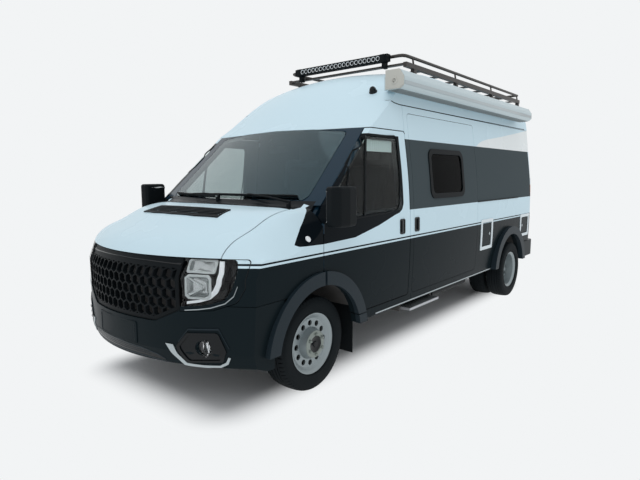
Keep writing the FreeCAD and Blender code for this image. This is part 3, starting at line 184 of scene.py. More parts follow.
# The two-tone paint. Heights and lengths in metres along the van
paint = {
    "upper": (0.62, 0.785, 0.865, 1),
    "lower": (0.007, 0.0125, 0.0155, 1),
    "band": (0.0572, 0.0741, 0.0819, 1),
    "black": (0.0045, 0.007, 0.0095, 1),
    "swoosh": (0.84, 0.88, 0.885, 1),
    "inner": (0.03, 0.031, 0.033, 1),
    "rough": 0.24,
    "mattRise": 0.34,
    "cabShine": 0.12,
    "core": (-1.5, 2.2, 1.0),
    "inwards": -0.12,
    "stripeLow": 0.998,
    "stripeMid": 1.012,
    "stripeHigh": 1.024,
    "bandLow": 1.251,
    "bandHigh": 1.858,
    "bandFront": -0.69,
    "bandRear": 2.676,
    "cabLowEdge": [(-2.155, 1.1), (-2.12, 1.086), (-1.88, 1.079), (-1.508, 1.09), (-1.18, 1.155),
                   (-0.93, 1.222), (-0.86, 1.236), (-0.815, 1.262), (-0.79, 1.31)],
    "cabTopEdge": [(-2.155, 1.1), (-2.125, 1.131), (-2.051, 1.201), (-1.951, 1.28), (-1.859, 1.34),
                   (-1.85, 2.2), (-1.35, 2.2), (-1.33, 1.874), (-0.79, 1.874)],
    "swooshEdge": [(0.88, 1.858), (0.96, 1.895), (1.06, 1.924), (1.2, 1.95), (1.652, 2.004), (2.217, 2.08),
                   (2.72, 2.15)],
    "sideFrom": 0.78,
    "bandFrom": 0.86,
    "scuttleHalf": 0.8,
    "scuttleTop": 1.348,
}


def makePaintGroup():
    shades = ("Upper", "Lower", "Band", "Black", "Swoosh", "Inner")
    tree, given, result = newGroup("paintZones", [(shade, colour, paint[shade.lower()]) for shade in shades],
                                   [("Color", colour), ("Rough", number)])
    place = addNode(tree, "ShaderNodeTexCoord")
    x, y, z = addNode(tree, "ShaderNodeSeparateXYZ", Vector=place.outputs["Object"]).outputs
    out = calc(tree, "ABSOLUTE", x)
    side = calc(tree, "GREATER_THAN", out, paint["sideFrom"])
    lowEdge, topEdge, swooshEdge = paint["cabLowEdge"], paint["cabTopEdge"], paint["swooshEdge"]
    swoosh = allOf(tree, between(tree, z, paint["bandHigh"], edgeLine(tree, y, swooshEdge)),
                   calc(tree, "GREATER_THAN", y, swooshEdge[0][0]), side)
    band = allOf(tree, between(tree, z, paint["bandLow"], paint["bandHigh"]),
                 between(tree, y, paint["bandFront"], paint["bandRear"]),
                 calc(tree, "GREATER_THAN", out, paint["bandFrom"]))
    cab = allOf(tree, between(tree, z, edgeLine(tree, y, lowEdge), edgeLine(tree, y, topEdge)),
                between(tree, y, lowEdge[0][0], lowEdge[-1][0]), side)
    # Faces that look inwards, towards a line along the van's middle, are lined with dark trim
    coreStart, coreEnd, coreHeight = paint["core"]
    along = calc(tree, "MINIMUM", calc(tree, "MAXIMUM", y, coreStart), coreEnd)
    core = addNode(tree, "ShaderNodeCombineXYZ", Y=along, Z=coreHeight)
    arm = vectorMath(tree, "SUBTRACT", place.outputs["Object"], core.outputs[0])
    facing = vectorMath(tree, "DOT_PRODUCT", arm.outputs[0], place.outputs["Normal"])
    inside = calc(tree, "LESS_THAN", facing.outputs["Value"], paint["inwards"])
    zones = (("Swoosh", swoosh), ("Lower", calc(tree, "LESS_THAN", z, paint["stripeLow"])),
             ("Black", between(tree, z, paint["stripeMid"], paint["stripeHigh"])), ("Band", band), ("Black", cab),
             ("Inner", inside))
    shown = given.outputs["Upper"]
    for shade, mask in zones:
        shown = blendColour(tree, mask, shown, given.outputs[shade])
    rough = calc(tree, "MULTIPLY_ADD", calc(tree, "MAXIMUM", band, inside), paint["mattRise"], paint["rough"])
    plug(tree, result.inputs["Color"], shown)
    plug(tree, result.inputs["Rough"], calc(tree, "MULTIPLY_ADD", cab, -paint["cabShine"], rough))
    return tree


grainGroup = makeGrainGroup()
dustGroup = makeDustGroup()
paintGroup = makePaintGroup()
looks = {}


def useGroup(tree, group, **values):
    node = tree.nodes.new("ShaderNodeGroup")
    node.node_tree = group
    for key, value in values.items():
        plug(tree, node.inputs[key], value)
    return node


def material(name, base, rough, metal=0.0, grain=60.0, contrast=0.1, bump=0.0, dust=0.0, dustTop=0.9, coat=0.0,
             vary=0.06, level=0.5, painted=False):
    looks[name] = bpy.data.materials.new(name)
    looks[name].use_nodes = True
    tree = looks[name].node_tree
    inputs = tree.nodes["Principled BSDF"].inputs
    inputs["Metallic"].default_value = metal
    inputs["Coat Weight"].default_value = coat
    inputs["Coat Roughness"].default_value = 0.06
    inputs["Specular IOR Level"].default_value = level
    start = (*base[:3], 1)
    if painted:
        start, rough = useGroup(tree, paintGroup).outputs
    if painted == "scuttle":
        spot = addNode(tree, "ShaderNodeTexCoord").outputs["Object"]
        x, _, z = addNode(tree, "ShaderNodeSeparateXYZ", Vector=spot).outputs
        middle = calc(tree, "LESS_THAN", calc(tree, "ABSOLUTE", x), paint["scuttleHalf"])
        middle = calc(tree, "MAXIMUM", middle, calc(tree, "GREATER_THAN", z, paint["scuttleTop"]))
        start = blendColour(tree, middle, start, paint["black"])
    grained = useGroup(tree, grainGroup, Scale=grain, Contrast=contrast, Base=start)
    dusty = useGroup(tree, dustGroup, Base=grained.outputs["Color"], Top=dustTop, Amount=dust)
    varied = calc(tree, "MULTIPLY_ADD", grained.outputs["Patch"], vary, rough)
    plug(tree, inputs["Base Color"], dusty.outputs["Color"])
    plug(tree, inputs["Roughness"], calc(tree, "MULTIPLY_ADD", dusty.outputs["Mask"], 0.3, varied))
    if bump:
        relief = addNode(tree, "ShaderNodeBump", Strength=0.6, Distance=bump, Height=grained.outputs["Height"])
        plug(tree, inputs["Normal"], relief.outputs["Normal"])
    return inputs


def glassMaterial(name, tint, rough=0.01, index=1.2, shine=(1, 1, 1)):
    inputs = material(name, tint, rough, grain=3, contrast=0.05, vary=0.01)
    inputs["Transmission Weight"].default_value = 1.0
    inputs["IOR"].default_value = index
    inputs["Specular Tint"].default_value = (*shine, 1)


material("bodyPaint", (1, 1, 1), 0.3, grain=900, contrast=0.03, dust=0.01, dustTop=0.8, level=0.04, painted=True)
material("scuttlePaint", (1, 1, 1), 0.3, grain=900, contrast=0.03, level=0.15, painted="scuttle")
material("slatePaint", paint["lower"], 0.3, grain=900, contrast=0.12, dust=0.01, dustTop=0.7, level=0.05)
material("flarePlastic", (0.013, 0.022, 0.029), 0.4, grain=700, contrast=0.25, bump=0.0004, dust=0.03, dustTop=0.8,
         level=0.14)
material("blackPlastic", (0.006, 0.008, 0.0095), 0.45, grain=500, contrast=0.3, bump=0.0003, dust=0.02, level=0.07)
material("glossBlack", (0.003, 0.0045, 0.006), 0.12, grain=300, contrast=0.1, level=0.25)
# The front pillars' paint is black with a blue tint; the blue is a painted sky reflection
material("pillarBlackPaintedReflection", (0.005, 0.024, 0.044), 0.16, grain=300, contrast=0.1, level=0.22)
material("rubber", (0.0075, 0.0105, 0.0125), 0.62, grain=260, contrast=0.4, bump=0.0006, dust=0.035, dustTop=0.75,
         level=0.05)
material("silver", (0.29, 0.335, 0.35), 0.34, metal=0.6, grain=420, contrast=0.12, dust=0.15, dustTop=0.8)
material("hubGrey", (0.25, 0.29, 0.27), 0.4, metal=0.5, grain=200, contrast=0.2, dust=0.3)
material("chrome", (0.78, 0.8, 0.81), 0.08, metal=1.0, grain=90, contrast=0.06, vary=0.03)
material("lampChrome", (0.5, 0.53, 0.53), 0.2, metal=0.8, grain=70, contrast=0.7, bump=0.0012, vary=0.1)
material("lampBezel", (0.46, 0.5, 0.5), 0.3, metal=0.2, grain=120, contrast=0.3)
material("satinSilver", (0.42, 0.47, 0.49), 0.28, metal=0.9, grain=300, contrast=0.1)
material("underSteel", (0.018, 0.018, 0.019), 0.6, grain=60, contrast=0.5, bump=0.001, dust=0.6)
material("castMetal", (0.1, 0.1, 0.1), 0.55, metal=0.6, grain=120, contrast=0.5, bump=0.001)
material("brakeIron", (0.012, 0.012, 0.012), 0.7, grain=160, contrast=0.5, level=0.1)
material("seatCloth", (0.02, 0.021, 0.024), 0.85, grain=1400, contrast=0.6, bump=0.0006, level=0.15)
material("blindCloth", (0.62, 0.68, 0.68), 0.8, grain=1200, contrast=0.2, bump=0.0004, level=0.2)
material("mirrorFace", (0.72, 0.76, 0.78), 0.03, metal=1.0, grain=40, contrast=0.03, vary=0.01)
material("rackPaint", (0.03, 0.024, 0.021), 0.42, grain=350, contrast=0.35, bump=0.0003)
material("awningShell", (0.5, 0.595, 0.625), 0.34, metal=0.1, grain=260, contrast=0.08)
# The awning's underside grey is painted shade, darker than the shell above it
material("awningPaintedShadeGrey", (0.2, 0.235, 0.245), 0.5, grain=260, contrast=0.15)
material("beige", (0.5, 0.5, 0.46), 0.5, grain=300, contrast=0.15)
material("frameWhite", (0.7, 0.78, 0.82), 0.3, grain=300, contrast=0.06, dust=0.15)
material("trim", (0.022, 0.022, 0.024), 0.55, grain=420, contrast=0.3, bump=0.0004)
material("alloy", (0.45, 0.47, 0.49), 0.38, metal=0.85, grain=300, contrast=0.2)
material("lampWhite", (0.8, 0.84, 0.86), 0.25, grain=200, contrast=0.05)
glassMaterial("lampGlass", (0.96, 0.97, 0.98))
# The windscreen's bluish specular tint paints a sky reflection onto the glass
glassMaterial("screenGlass", (0.31, 0.36, 0.36), index=1.55, shine=(0.4, 0.8, 1.0))
glassMaterial("doorGlass", (0.8, 0.87, 0.86), index=1.14)
glassMaterial("darkGlass", (0.01, 0.016, 0.02), rough=0.03, index=1.07)
material("tailRed", (0.42, 0.012, 0.01), 0.12, grain=150, contrast=0.2, coat=0.6)
material("tailAmber", (0.62, 0.17, 0.015), 0.12, grain=150, contrast=0.2, coat=0.6)
nodeLooks = {
    "bodyPaint": ("bodyside", "sliding_door", "cab_door", "rear_door", "front_wings", "bonnet", "high_roof",
                  "hatch_lid"),
    "slatePaint": ("front_bumper", "rear_bumper"),
    "flarePlastic": ("arch_flares", "door_flare"),
    "pillarBlackPaintedReflection": ("front_pillars",),
    "scuttlePaint": ("scuttle",),
    "blackPlastic": ("grille", "mirror", "fuel_tank", "mudflaps", "light_bar"),
    "chrome": ("fog_lamps",),
    "silver": ("rim",),
    "underSteel": ("chassis_frame", "rear_axle", "floor_pan", "radiator", "step_frame"),
    "castMetal": ("engine_block", "knuckle"),
    "trim": ("dashboard", "steering_wheel", "seat_bases"),
    "rackPaint": ("roof_rack",),
    "alloy": ("entry_step",),
    "awningShell": ("awning",),
    "frameWhite": ("hatch_frames",),
    "screenGlass": ("windscreen",),
    "darkGlass": ("side_windows",),
}
for key, node in nodes.items():
    chosen = [look for look, names in nodeLooks.items() if key.startswith(names)]
    if key.endswith("_glass"):
        chosen = ["doorGlass" if key.startswith("cab") else "darkGlass"]
    if chosen:
        node.data.materials.clear()
        node.data.materials.append(looks[chosen[0]])
print("finishes made")


# Mesh helpers: a shape is built in a bmesh of its own, then made into a piece

def cleaned(bm):
    bmesh.ops.remove_doubles(bm, verts=bm.verts, dist=1e-6)
    bmesh.ops.recalc_face_normals(bm, faces=bm.faces)
    return bm


def bareMesh(name, bm):
    mesh = bpy.data.meshes.new(name)
    bm.to_mesh(mesh)
    bm.free()
    return mesh


def joinMeshes(name, *meshes, bm=None):
    bm = bmesh.new() if bm is None else bm
    for mesh in meshes:
        bm.from_mesh(mesh)
    return bareMesh(name, bm)


def addPiece(name, shape, look, body="van", sharp=35):
    mesh = shape if isinstance(shape, bpy.types.Mesh) else bareMesh(name, cleaned(shape))
    mesh.materials.clear()
    mesh.materials.append(looks[look])
    mesh.shade_smooth()
    mesh.set_sharp_from_angle(angle=math.radians(sharp))
    piece = bpy.data.objects.new(name, mesh)
    scene.collection.objects.link(piece)
    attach(piece, body)
    return piece


def skinRings(bm, rings, closedRun=False, caps=True):
    made = [[bm.verts.new(point) for point in ring] for ring in rings]
    count = len(made[0])
    for first, second in zip(made, made[1:] + made[:1] if closedRun else made[1:]):
        for index in range(count):
            after = (index + 1) % count
            bm.faces.new((first[index], first[after], second[after], second[index]))
    if caps and not closedRun:
        for ring in (made[0], made[-1]):
            middle = bm.verts.new(sum((vert.co for vert in ring), Vector()) / count)
            for index in range(count):
                bm.faces.new((ring[index], ring[(index + 1) % count], middle))


def turns(count):
    return [2 * math.pi * step / count for step in range(count)]


def lathe(bm, profile, centre, steps, closed=True):
    rings = [[Vector((centre[0] + x, centre[1] + radius * math.sin(turn), centre[2] + radius * math.cos(turn)))
              for turn in turns(steps)] for x, radius in profile]
    skinRings(bm, rings, closedRun=closed, caps=not closed)


def turned(profile, face, centre, sign, steps, closed=True):
    bm = bmesh.new()
    lathe(bm, [(sign * (face + x), radius) for x, radius in profile], centre, steps, closed)
    return cleaned(bm)


def tubeAlong(bm, points, radius, sides=10):
    points = [Vector(point) for point in points]
    rings = []
    normal = None
    for index, point in enumerate(points):
        along = (points[min(index + 1, len(points) - 1)] - points[max(index - 1, 0)]).normalized()
        if normal is None:
            normal = along.orthogonal().normalized()
        normal = (normal - along * normal.dot(along)).normalized()
        across = along.cross(normal)
        size = radius[index] if isinstance(radius, list) else radius
        rings.append([point + (normal * math.cos(turn) + across * math.sin(turn)) * size for turn in turns(sides)])
    skinRings(bm, rings)


def roundedBlock(bm, low, high, bevel, segments=2):
    made = bmesh.ops.create_cube(bm, size=1.0)
    low, high = Vector(low), Vector(high)
    for vert in made["verts"]:
        vert.co = Vector([(low[i] + high[i]) / 2 + vert.co[i] * (high[i] - low[i]) for i in range(3)])
    edges = list(dict.fromkeys(edge for vert in made["verts"] for edge in vert.link_edges))
    bmesh.ops.bevel(bm, geom=edges, offset=bevel, segments=segments, affect="EDGES", profile=0.5)


# Outlines are lists of pairs, and a box of an outline is its low and high across and its low and high upwards

def roundedOutline(box, radius, steps=6):
    lowA, highA, lowB, highB = box
    corners = [(highA - radius, highB - radius, 0), (lowA + radius, highB - radius, 90),
               (lowA + radius, lowB + radius, 180), (highA - radius, lowB + radius, 270)]
    points = []
    for a, b, start in corners:
        for step in range(steps + 1):
            turn = math.radians(start + 90 * step / steps)
            points.append((a + radius * math.cos(turn), b + radius * math.sin(turn)))
    return points


def inset(box, across, up=None):
    up = across if up is None else up
    return box[0] + across, box[1] - across, box[2] + up, box[3] - up


def circleSpots(middle, radius, steps):
    return [(middle[0] + radius * math.cos(turn), middle[1] + radius * math.sin(turn)) for turn in turns(steps)]


def mirrorSpots(points, sign):
    return [(sign * point[0], point[1]) for point in points]


def scaled(points, middle, scale):
    return [(middle[0] + (a - middle[0]) * scale, middle[1] + (b - middle[1]) * scale) for a, b in points]


def shifted(points, up, across=0.0):
    return [(a + across, b + up) for a, b in points]


def spread(points, steps):
    dense = []
    for first, second in zip(points, points[1:]):
        for step in range(steps):
            share = step / steps
            dense.append((first[0] + (second[0] - first[0]) * share, first[1] + (second[1] - first[1]) * share))
    return dense + [points[-1]]


def raysOut(points, middle, count):
    spots = []
    for turn in turns(count):
        way = (math.cos(turn), math.sin(turn))
        best = None
        for first, second in zip(points, points[1:] + points[:1]):
            edge = (second[0] - first[0], second[1] - first[1])
            gap = (first[0] - middle[0], first[1] - middle[1])
            cross = way[0] * edge[1] - way[1] * edge[0]
            if abs(cross) < 1e-9:
                continue
            reach = (gap[0] * edge[1] - gap[1] * edge[0]) / cross
            share = (gap[0] * way[1] - gap[1] * way[0]) / cross
            if reach > 0 and -1e-6 <= share <= 1 + 1e-6 and (best is None or reach < best):
                best = reach
        spots.append((middle[0] + way[0] * best, middle[1] + way[1] * best))
    return spots


def surfaceOf(*names):
    verts = []
    faces = []
    for key, node in nodes.items():
        if key.startswith(names):
            shift = len(verts)
            verts += [vert.co.copy() for vert in node.data.vertices]
            faces += [[index + shift for index in face.vertices] for face in node.data.polygons]
    return BVHTree.FromPolygons(verts, faces)


def projector(axis, start, way, *names):
    tree = surfaceOf(*names)
    direction = Vector([way if index == axis else 0 for index in range(3)])

    def project(spot):
        origin = Vector((*spot[:axis], start, *spot[axis:]))
        hit, normal, _, _ = tree.ray_cast(origin, direction)
        if hit is None:
            hit, normal, _, _ = tree.find_nearest(origin + direction * 0.5)
        if normal.dot(direction) > 0:
            normal = -normal
        return hit, normal
    return project


def fromSide(sign, *names):
    return projector(0, 1.4 * sign, -sign, *names)


def fromFront(*names):
    return projector(1, -3.2, 1, *names)


def fromRear(*names):
    return projector(1, 3.2, -1, *names)


onSide = {sign: fromSide(sign, "bodyside", "sliding_door", "cab_door", "front_wings", "front_pillars")
          for sign in (1, -1)}
onNose = fromFront("front_bumper", "grille", "headlamps", "front_wings")
onLamp = fromFront("headlamps")
onTop = projector(2, 1.6, -1, "bonnet", "scuttle")
onScreen = projector(1, -3.0, 1, "windscreen")


def lifted(project, spots, height):
    return [point + normal * height for point, normal in map(project, spots)]


def padOn(bm, outline, project, profile, centre=None):
    middle = centre or (sum(p[0] for p in outline) / len(outline), sum(p[1] for p in outline) / len(outline))
    skinRings(bm, [lifted(project, scaled(outline, middle, scale), height) for scale, height in profile])


def stripOn(bm, edges, project, lift, sink):
    rows = [lifted(project, edges[side], height) for side, height in ((0, -sink), (0, lift), (1, lift), (1, -sink))]
    skinRings(bm, list(zip(*rows)))


def frameOn(bm, outer, inner, project, lift, sink):
    rings = ((outer, -sink), (outer, lift), (inner, lift), (inner, -sink))
    skinRings(bm, [lifted(project, outline, height) for outline, height in rings], closedRun=True)


def addStrip(name, edges, project, lift, sink, look):
    bm = bmesh.new()
    stripOn(bm, edges, project, lift, sink)
    return addPiece(name, bm, look)


def addPad(name, outline, project, profile, look, body="van", sharp=35, centre=None):
    bm = bmesh.new()
    padOn(bm, outline, project, profile, centre)
    return addPiece(name, bm, look, body, sharp)


# Geometry Nodes that repeat a piece round the van's cross axis or along a line

def copiesTree(name, spun):
    tree = bpy.data.node_groups.new(name, "GeometryNodeTree")
    for label, kind in (("Geometry", "Geometry"), ("Count", "Int"), ("Step", "Vector"), ("Centre", "Vector"),
                        ("Finish", "Material")):
        tree.interface.new_socket(label, in_out="INPUT", socket_type="NodeSocket" + kind)
    tree.interface.new_socket("Geometry", in_out="OUTPUT", socket_type="NodeSocketGeometry")
    given = tree.nodes.new("NodeGroupInput").outputs
    line = addNode(tree, "GeometryNodeMeshLine", Count=given["Count"], Start_Location=(0, 0, 0))
    copies = addNode(tree, "GeometryNodeInstanceOnPoints", Points=line.outputs[0], Instance=given["Geometry"])
    if spun:
        plug(tree, line.inputs["Offset"], (0, 0, 0))
        index = tree.nodes.new("GeometryNodeInputIndex")
        share = calc(tree, "DIVIDE", calc(tree, "MULTIPLY", index.outputs[0], 2 * math.pi), given["Count"])
        plug(tree, copies.inputs["Rotation"], addNode(tree, "ShaderNodeCombineXYZ", X=share).outputs[0])
    else:
        plug(tree, line.inputs["Offset"], given["Step"])
    real = addNode(tree, "GeometryNodeRealizeInstances", Geometry=copies.outputs[0])
    move = addNode(tree, "GeometryNodeTransform", Geometry=real.outputs[0], Translation=given["Centre"])
    finish = addNode(tree, "GeometryNodeSetMaterial", Geometry=move.outputs[0], Material=given["Finish"])
    plug(tree, tree.nodes.new("NodeGroupOutput").inputs[0], finish.outputs[0])
    return tree


ringTree = copiesTree("roundTheWheel", True)
rowTree = copiesTree("alongTheRow", False)


def evaluatedMesh(holder):
    return bpy.data.meshes.new_from_object(holder.evaluated_get(bpy.context.evaluated_depsgraph_get()))


def repeated(name, bm, tree, look, **values):
    holder = bpy.data.objects.new(name + "Holder", bareMesh(name + "One", cleaned(bm)))
    scene.collection.objects.link(holder)
    copies = holder.modifiers.new("copies", "NODES")
    copies.node_group = tree
    values["Finish"] = looks[look]
    for item in tree.interface.items_tree:
        if item.in_out == "INPUT" and item.name in values:
            copies[item.identifier] = values[item.name]
    bpy.context.view_layer.update()
    result = evaluatedMesh(holder)
    holder.modifiers.remove(copies)
    bpy.data.objects.remove(holder)
    return result


def addRow(name, bm, look, count, gap, centre, body="van", extra=()):
    row = repeated(name + "Row", bm, rowTree, look, Count=count, Step=(gap, 0.0, 0.0), Centre=centre)
    addPiece(name, joinMeshes(name, *extra, row), look, body, 30)


# Tyres: ribs on the crown, blocks on the shoulders, rings on the walls. Pairs are half widths and radii
tyre = {
    "halfWidth": 0.099,
    "radius": 0.347,
    "wall": [(0.07, 0.205), (0.0775, 0.2226), (0.089, 0.229), (0.0945, 0.234), (0.0965, 0.24),
             (0.095, 0.244), (0.0972, 0.26), (0.0988, 0.284), (0.098, 0.3), (0.096, 0.31),
             (0.0942, 0.3115), (0.0946, 0.3155), (0.0915, 0.322), (0.088, 0.327), (0.086, 0.33)],
    "crownEdge": [(0.06, 0.3325), (0.0595, 0.344)],
    "crownDrop": 0.008,
    "shoulder": [(0.0605, 0.3436), (0.075, 0.3415), (0.086, 0.3365), (0.0915, 0.3265), (0.0905, 0.32),
                 (0.0605, 0.329)],
    "blockTurns": [(-2.35, 0.0012), (-2.15, 0.0), (2.15, 0.0), (2.35, 0.0012)],
    "grooves": [0.018, 0.045],
    "grooveWidth": 0.008,
    "grooveDepth": 0.008,
    "blocks": 64,
}


def crown(x):
    return tyre["radius"] - (x / tyre["halfWidth"]) ** 2 * tyre["crownDrop"]


def tyreProfile():
    half = tyre["wall"] + tyre["crownEdge"]
    for middle in reversed(tyre["grooves"]):
        outer, inner = middle + tyre["grooveWidth"] / 2, middle - tyre["grooveWidth"] / 2
        floor = crown(middle) - tyre["grooveDepth"]
        half += [(outer, crown(outer)), (outer - 0.001, floor), (inner + 0.001, floor), (inner, crown(inner))]
    half.append((0.0, crown(0.0)))
    return half + [(-x, radius) for x, radius in reversed(half[:-1])]


def shoulderBlock():
    bm = bmesh.new()
    for sign in (1, -1):
        rings = []
        for turn, drop in tyre["blockTurns"]:
            angle = math.radians(turn)
            reaches = [(sign * x, radius - drop if radius > 0.33 else radius) for x, radius in tyre["shoulder"]]
            rings.append([Vector((x, reach * math.sin(angle), reach * math.cos(angle))) for x, reach in reaches])
        skinRings(bm, rings)
    return bm


def makeTyre(name, centres, body, replaced):
    bm = bmesh.new()
    for centre in centres:
        lathe(bm, tyreProfile(), centre, 96)
    rings = [repeated(name + "Blocks", shoulderBlock(), ringTree, "rubber", Count=tyre["blocks"], Centre=centre)
             for centre in centres]
    piece = addPiece(name, joinMeshes(name, *rings, bm=cleaned(bm)), "rubber", body, 28)
    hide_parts(replaced)


frontX = 0.81
rearX = (0.936, 0.704)
for side, sign in bothSides:
    makeTyre(f"treadedTyreFront_{side}", [(sign * frontX, frontAxle, axleHeight)], f"wheel_front_{side}",
             f"tyre_front_{side}")
    makeTyre(f"treadedTyresRear_{side}", [(sign * x, rearAxle, axleHeight) for x in rearX], f"wheels_rear_{side}",
             f"tyres_rear_{side}")
print("tyres made")


# Hubs, wheel nuts and the front hub's dark centre. Profiles are distances beyond the face, and radii
hub = {
    "nuts": 6,
    "nutSize": 0.013,
    "nutProfile": [(-0.006, 1.0), (0.012, 1.0), (0.016, 0.8), (0.022, 0.5)],
    "frontFace": 0.102,
    "frontCircle": 0.075,
    "frontNutOut": 0.004,
    "ring": [(-0.03, 0.06), (0.004, 0.06), (0.008, 0.0625), (0.009, 0.067), (0.009, 0.07), (0.007, 0.092),
             (0.002, 0.099), (-0.03, 0.0995)],
    "centre": [(0.0005, 0.0), (0.0005, 0.0597), (0.005, 0.0597), (0.004, 0.048), (0.0012, 0.042), (0.0012, 0.024),
               (0.008, 0.02), (0.009, 0.0)],
    "rearFace": -0.044,
    "rearCircle": 0.082,
    "rearCap": [(-0.02, 0.0), (-0.02, 0.06), (0.03, 0.058), (0.052, 0.05), (0.06, 0.036), (0.06, 0.0)],
}


def hubNuts(circle, face, sign, look, centre):
    bm = bmesh.new()
    skinRings(bm, [[Vector((sign * (face + x), across, circle + up)) for up, across in
                    circleSpots((0, 0), hub["nutSize"] * scale, 6)] for x, scale in hub["nutProfile"]])
    return repeated("hubNuts", bm, ringTree, look, Count=hub["nuts"], Centre=centre)


for side, sign in bothSides:
    body = f"wheel_front_{side}"
    centre = (sign * frontX, frontAxle, axleHeight)
    face = hub["frontFace"]
    nuts = hubNuts(hub["frontCircle"], face + hub["frontNutOut"], sign, "hubGrey", centre)
    ring = joinMeshes("hubRing", nuts, bm=turned(hub["ring"], face, centre, sign, 72))
    addPiece(f"hubRing_{side}", ring, "hubGrey", body)
    middle = turned(hub["centre"], face, centre, sign, 40, False)
    addPiece(f"hubCentre_{side}", middle, "glossBlack", body)
    centre = (sign * rearX[0], rearAxle, axleHeight)
    nuts = hubNuts(hub["rearCircle"], hub["rearFace"], sign, "silver", centre)
    cap = joinMeshes("rearHub", nuts, bm=turned(hub["rearCap"], hub["rearFace"], centre, sign, 56, False))
    addPiece(f"rearHub_{side}", cap, "silver", f"wheels_rear_{side}")
print("hubs made")


# Headlamps: clear lens over a black bowl with two reflectors and a pale strip. The outline's pairs are heights
# and distances from the middle. Each reflector is a box, its corner radius, the corner's steps and its dish
lamp = {
    "outline": [(0.752, 0.56), (0.758, 0.617), (0.763, 0.691), (0.78, 0.762), (0.808, 0.836), (0.871, 0.875),
                (0.933, 0.893), (1.0, 0.888), (1.035, 0.878), (1.056, 0.85)],
    "reflectors": [
        ((0.6, 0.768, 0.968, 1.04), 0.01, 3,
         [(1.0, -0.06), (1.0, -0.01), (0.95, -0.01), (0.82, -0.042), (0.4, -0.052)]),
        ((0.6, 0.754, 0.806, 0.952), 0.016, 1,
         [(1.0, -0.068), (1.0, -0.01), (0.95, -0.01), (0.62, -0.05), (0.2, -0.06)]),
    ],
    "stripOuter": [(0.806, 1.036), (0.82, 0.97), (0.816, 0.9), (0.794, 0.846), (0.752, 0.806), (0.69, 0.784),
                   (0.606, 0.768)],
    "stripInner": [(0.778, 1.036), (0.792, 0.97), (0.787, 0.905), (0.768, 0.862), (0.738, 0.824), (0.688, 0.8),
                   (0.606, 0.784)],
    "chromeOuter": [(0.596, 0.728), (0.68, 0.738), (0.756, 0.752), (0.836, 0.782), (0.884, 0.828), (0.906, 0.89)],
    "lineWidth": 0.005,
    "bezel": 0.009,
    "rays": [((0.7, 0.884), (0.612, 0.938)), ((0.7, 0.868), (0.612, 0.82)), ((0.726, 0.905), (0.726, 0.85))],
    "rayHalf": 0.004,
    "facing": (0.45, -0.88, 0.15),
    "leastFacing": 0.55,
}
lampEdges = list(zip(lamp["outline"], lamp["outline"][1:]))


def lampReach(height):
    for (lowZ, lowX), (highZ, highX) in lampEdges:
        if height <= highZ:
            share = max(0.0, (height - lowZ) / (highZ - lowZ))
            return lowX + (highX - lowX) * share
    return lamp["outline"][-1][1]


source = bmesh.new()
source.from_mesh(nodes["headlamps"].data)
bmesh.ops.remove_doubles(source, verts=source.verts, dist=1e-5)
for (lowZ, lowX), (highZ, highX) in lampEdges:
    for sign in (1, -1):
        everything = source.verts[:] + source.edges[:] + source.faces[:]
        across = Vector((highZ - lowZ, 0, -sign * (highX - lowX)))
        bmesh.ops.bisect_plane(source, geom=everything, plane_co=(sign * lowX, 0, lowZ), plane_no=across)
source.normal_update()


def lampPart(face):
    middle = face.calc_center_median()
    sign = 1 if middle.x > 0 else -1
    x, y, z = lamp["facing"]
    if face.normal.dot(Vector((x * sign, y, z))) < lamp["leastFacing"]:
        return "lampBowl"
    return "lampLens" if abs(middle.x) < lampReach(middle.z) else "lampShoulder"


lampParts = {
    "lampLens": ("lampGlass", 0.003, "lamp_lens"),
    "lampBowl": ("glossBlack", 0.002, "gloss_black"),
    "lampShoulder": ("bodyPaint", 0.003, "body_paint"),
}
for name, (look, thick, slot) in lampParts.items():
    bm = bmesh.new()
    known = {}
    for face in source.faces:
        if lampPart(face) != name:
            continue
        for vert in face.verts:
            if vert.index not in known:
                known[vert.index] = bm.verts.new(vert.co)
        bm.faces.new([known[vert.index] for vert in face.verts])
    piece = addPiece(name, bareMesh(name, bm), look)
    wall = piece.modifiers.new("wall", "SOLIDIFY")
    wall.thickness = thick
    wall.offset = -1
    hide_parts("headlamps")
source.free()


for side, sign in bothSides:
    bm = bmesh.new()
    for box, radius, steps, dish in lamp["reflectors"]:
        padOn(bm, mirrorSpots(roundedOutline(box, radius, steps), sign), onLamp, dish)
    addPiece(f"lampReflectors_{side}", bm, "lampChrome", sharp=20)
    bm = bmesh.new()
    edge = lamp["bezel"]
    for box, radius, steps, dish in lamp["reflectors"]:
        outer = roundedOutline(inset(box, -0.4 * edge, -0.5 * edge), radius + 0.004, steps)
        inner = roundedOutline(inset(box, edge), radius, steps)
        frameOn(bm, mirrorSpots(outer, sign), mirrorSpots(inner, sign), onLamp, -0.007, 0.012)
    for (startX, startZ), (endX, endZ) in lamp["rays"]:
        across = Vector((endZ - startZ, startX - endX)).normalized() * lamp["rayHalf"]
        ray = [(startX, startZ), (endX, endZ)]
        edges = [mirrorSpots(shifted(ray, way * across.y, way * across.x), sign) for way in (1, -1)]
        stripOn(bm, edges, onLamp, -0.014, 0.03)
    addPiece(f"lampBezel_{side}", bm, "lampBezel", sharp=30)
    edges = [mirrorSpots(spread(lamp[key], 4), sign) for key in ("stripOuter", "stripInner")]
    addStrip(f"lampStrip_{side}", edges, onLamp, -0.008, 0.016, "lampWhite")
    line = spread(lamp["chromeOuter"], 4)
    edges = [mirrorSpots(points, sign) for points in (line, shifted(line, lamp["lineWidth"], -0.001))]
    addStrip(f"lampLine_{side}", edges, onLamp, 0.0035, 0.004, "satinSilver")
print("headlamps made")


